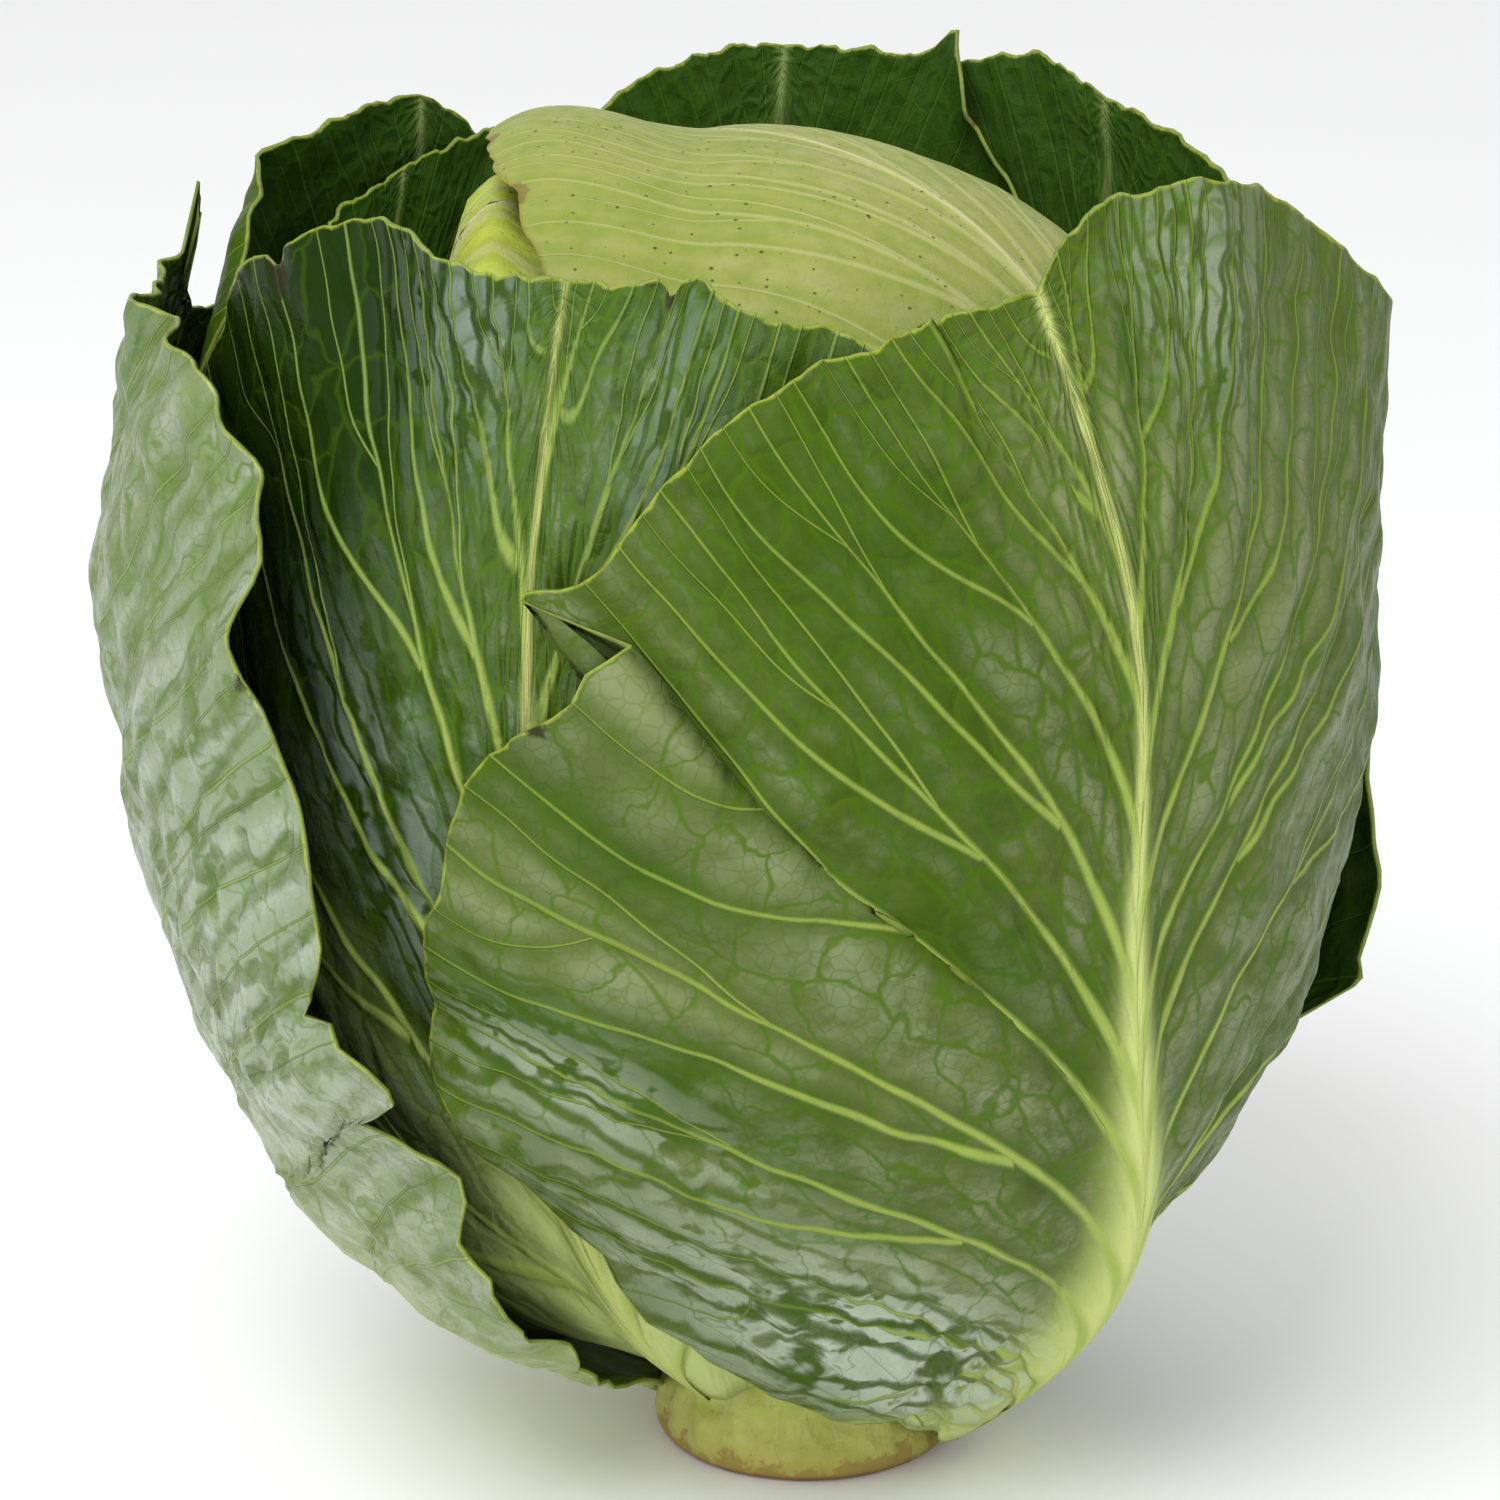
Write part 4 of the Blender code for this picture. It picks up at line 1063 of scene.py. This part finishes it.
stump = {
    # radius and height in mm, from the middle of the cut face round its edge and up into the head
    "profile": [(0, 1.0), (8, 0.9), (16, 0.5), (24, 0.4), (27.8, 0), (29.6, 1.6), (29.9, 5), (29.0, 9),
                (28.3, 14), (27.5, 22), (25.5, 30), (23.5, 42), (20, 58), (17, 73), (8, 75), (0, 75)],
    "sides": 144, "rows": 110,
    # azimuth, height, half width in degrees, half height, swelling, all of the leaf bases
    "bases": [(66, 7, 22, 6, 1.4), (-38, 9, 20, 5, 1.8), (-100, 6, 24, 6, 1.6), (180, 12, 24, 6, 1.6),
              (125, 8, 16, 5, 1.2), (152, 6, 14, 5, 1.4), (-148, 9, 16, 5, 1.5), (14, 6, 16, 4, 1.0)],
    # size in mm, seed and height in mm of the surface's unevenness
    "rough": [(5, 91, 0.35), (11, 92, 0.5)],
}


def splineAlong(stations, along):
    values = np.array(stations, float)
    steps = np.linalg.norm(np.diff(values, axis=0), axis=1)
    places = np.concatenate(([0], np.cumsum(steps))) / steps.sum()
    return np.column_stack([np.interp(along, places, column) for column in values.T])


def stumpSkin():
    material, tree, shader = newMaterial("stumpSkin")
    point = objectPoint(tree)
    away, tall = kept(tree, "away"), kept(tree, "tall")

    def share(value, amount):
        return calc(tree, "MULTIPLY", value, amount)

    # The rind: streaked, tan low down, with dried patches at the edge of the cut
    tone = ramp(tree, cloud(tree, point, 9, 4.0, 0.6), 0.35, 0.65)
    rind = blendColour(tree, tone, (0.46, 0.50, 0.13), (0.36, 0.42, 0.07))
    stretched = tree.nodes.new("ShaderNodeMapping")
    stretched.inputs["Scale"].default_value = (1.0, 1.0, 0.25)
    wire(tree, stretched.inputs["Vector"], point)
    streak = ramp(tree, cloud(tree, stretched.outputs["Vector"], 3.0, 4.0, 0.6, 5.0), 0.50, 0.70)
    rind = blendColour(tree, share(streak, 0.18), rind, (0.24, 0.19, 0.04))
    worn = cloud(tree, point, 7, 4.0, 0.65, 3.0)
    worn = calc(tree, "MULTIPLY_ADD", worn, -24.0, calc(tree, "ADD", tall, 9.0))
    dried = ramp(tree, worn, 0.0, 2.2, 1.0, 0.0)
    rind = blendColour(tree, share(dried, 0.9), rind, (0.21, 0.125, 0.035))
    rind = blendColour(tree, ramp(tree, tall, 2.0, 18.0, 0.6, 0.0), rind, (0.33, 0.26, 0.06))

    # The cut face: rings round the pith, a brown rim, stains and pores
    ring = calc(tree, "MULTIPLY_ADD", cloud(tree, point, 5, 3.0), 3.0, away)
    cut = blendColour(tree, ramp(tree, ring, 13, 17), (0.62, 0.60, 0.36), (0.46, 0.43, 0.20))
    cut = blendColour(tree, ramp(tree, ring, 17.5, 20), cut, (0.60, 0.56, 0.30))
    cut = blendColour(tree, ramp(tree, ring, 25, 29.5), cut, (0.24, 0.13, 0.04))
    stain = ramp(tree, cloud(tree, point, 8, 5.0, 0.7, 9.0), 0.50, 0.66)
    cut = blendColour(tree, share(stain, 0.7), cut, (0.32, 0.20, 0.07))
    pores = useGroup(tree, speckGroup, point=point, spacing=1.7, size=0.25, share=0.6)["speck"]
    cut = blendColour(tree, share(pores, 0.6), cut, (0.22, 0.13, 0.05))

    wire(tree, shader.inputs["Base Color"], blendColour(tree, ramp(tree, tall, 1.1, 2.2), cut, rind))
    wire(tree, shader.inputs["Roughness"], calc(tree, "MULTIPLY_ADD", dried, 0.25, 0.45))
    shader.inputs["Specular IOR Level"].default_value = 0.25
    addBump(tree, shader, calc(tree, "MULTIPLY_ADD", streak, -0.15, share(cloud(tree, point, 1.2, 3.0), 0.3)))
    return material


def makeStump():
    bm = bmesh.new()
    bmesh.ops.create_grid(bm, x_segments=stump["sides"], y_segments=stump["rows"], size=1.0)
    seam = {round(v.co.y * 1e4): v for v in bm.verts if v.co.x > 1 - 1e-6}
    ends = {v: seam[round(v.co.y * 1e4)] for v in bm.verts
            if v.co.x < -1 + 1e-6 or (abs(v.co.y) > 1 - 1e-6 and v.co.x < 1 - 1e-6)}
    bmesh.ops.weld_verts(bm, targetmap=ends)        # the seam and both poles
    mesh, flat = meshFrom(bm, "cutStump")
    azimuth = 180 * flat[:, 0]
    radius, height = splineAlong(stump["profile"], (flat[:, 1] + 1) / 2).T
    radius = np.maximum(radius, 0)
    for place, level, wide, tall, swelling in stump["bases"]:
        turn = (azimuth - place + 180) % 360 - 180
        swell = np.exp(-(turn / wide) ** 2 - ((height - level) / tall) ** 2)
        radius += swelling * swell * smoothStep(radius, 20, 28)
    turn = np.radians(azimuth)
    points = np.column_stack((radius * np.sin(turn), -radius * np.cos(turn), height)) * mm
    rough = sum(depth * softNoise(points, size, seed) for size, seed, depth in stump["rough"])
    side = smoothStep(height, 1.5, 4)
    points[:, :2] *= (1 + rough * side / np.maximum(radius, 5))[:, None]
    points[:, 2] += mm * (1 - side) * smoothStep(radius, 30, 24) * np.abs(rough) * 0.8
    points[:, 2] = np.maximum(points[:, 2], 0)
    keepNumbers(mesh, away=radius, tall=height)
    piece = addPiece(mesh, points, [stumpSkin()])
    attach(piece, "root")
    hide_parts("stump")
    print("stump made")


makeStump()


# Floor, light and camera, at the photograph's angle

view = {
    "target": (-0.0114, 0.0, 0.1467), "distance": 1.1, "elevation": 17, "lens": 132, "sensor": 36,
}
studio = {
    "floor": 6.0, "skyStrength": 0.84,
    # where each lamp is, what it aims at, and its size, power and colour
    "lamps": {
        "skyBox": ((-0.5, -1.0, 1.7), (0, 0, 0.15), 1.1, 25, (0.96, 0.98, 1.0)),
        "frontBox": ((-0.3, -1.8, 0.35), (0, 0, 0.1), 0.9, 7, (1.0, 1.0, 1.0)),
    },
}


def makeFloor():
    bm = bmesh.new()
    bmesh.ops.create_grid(bm, x_segments=1, y_segments=1, size=studio["floor"])
    mesh, _ = meshFrom(bm, "floor")
    floor = bpy.data.objects.new("floor", mesh)
    scene.collection.objects.link(floor)
    material, tree, shader = newMaterial("floorPaint")
    tone = cloud(tree, objectPoint(tree), 400, 2.0)
    wire(tree, shader.inputs["Base Color"], blendColour(tree, tone, (0.92, 0.92, 0.92), (0.95, 0.95, 0.95)))
    shader.inputs["Roughness"].default_value = 0.9
    mesh.materials.append(material)


def softBox(name, place, aim, size, power, colour):
    lamp = bpy.data.lights.new(name, "AREA")
    lamp.size = size
    lamp.energy = power
    lamp.color = colour
    holder = bpy.data.objects.new(name, lamp)
    holder.location = place
    holder.rotation_euler = (Vector(aim) - Vector(place)).to_track_quat("-Z", "Y").to_euler()
    scene.collection.objects.link(holder)


def makeWorld():
    world = bpy.data.worlds.new("studio")
    world.use_nodes = True
    world.node_tree.nodes["Background"].inputs["Color"].default_value = (1.0, 1.0, 1.0, 1)
    world.node_tree.nodes["Background"].inputs["Strength"].default_value = studio["skyStrength"]
    scene.world = world


def makeCamera():
    lens = bpy.data.cameras.new("camera")
    lens.lens = view["lens"]
    lens.sensor_width = view["sensor"]
    camera = bpy.data.objects.new("camera", lens)
    rise = math.radians(view["elevation"])
    back = Vector((0, -math.cos(rise), math.sin(rise))) * view["distance"]
    camera.location = Vector(view["target"]) + back
    camera.rotation_euler = (-back).to_track_quat("-Z", "Y").to_euler()
    scene.collection.objects.link(camera)
    scene.camera = camera


makeFloor()
for name, lamp in studio["lamps"].items():
    softBox(name, *lamp)
makeWorld()
scene.view_settings.view_transform = "Standard"
makeCamera()
print("floor, light and camera made")
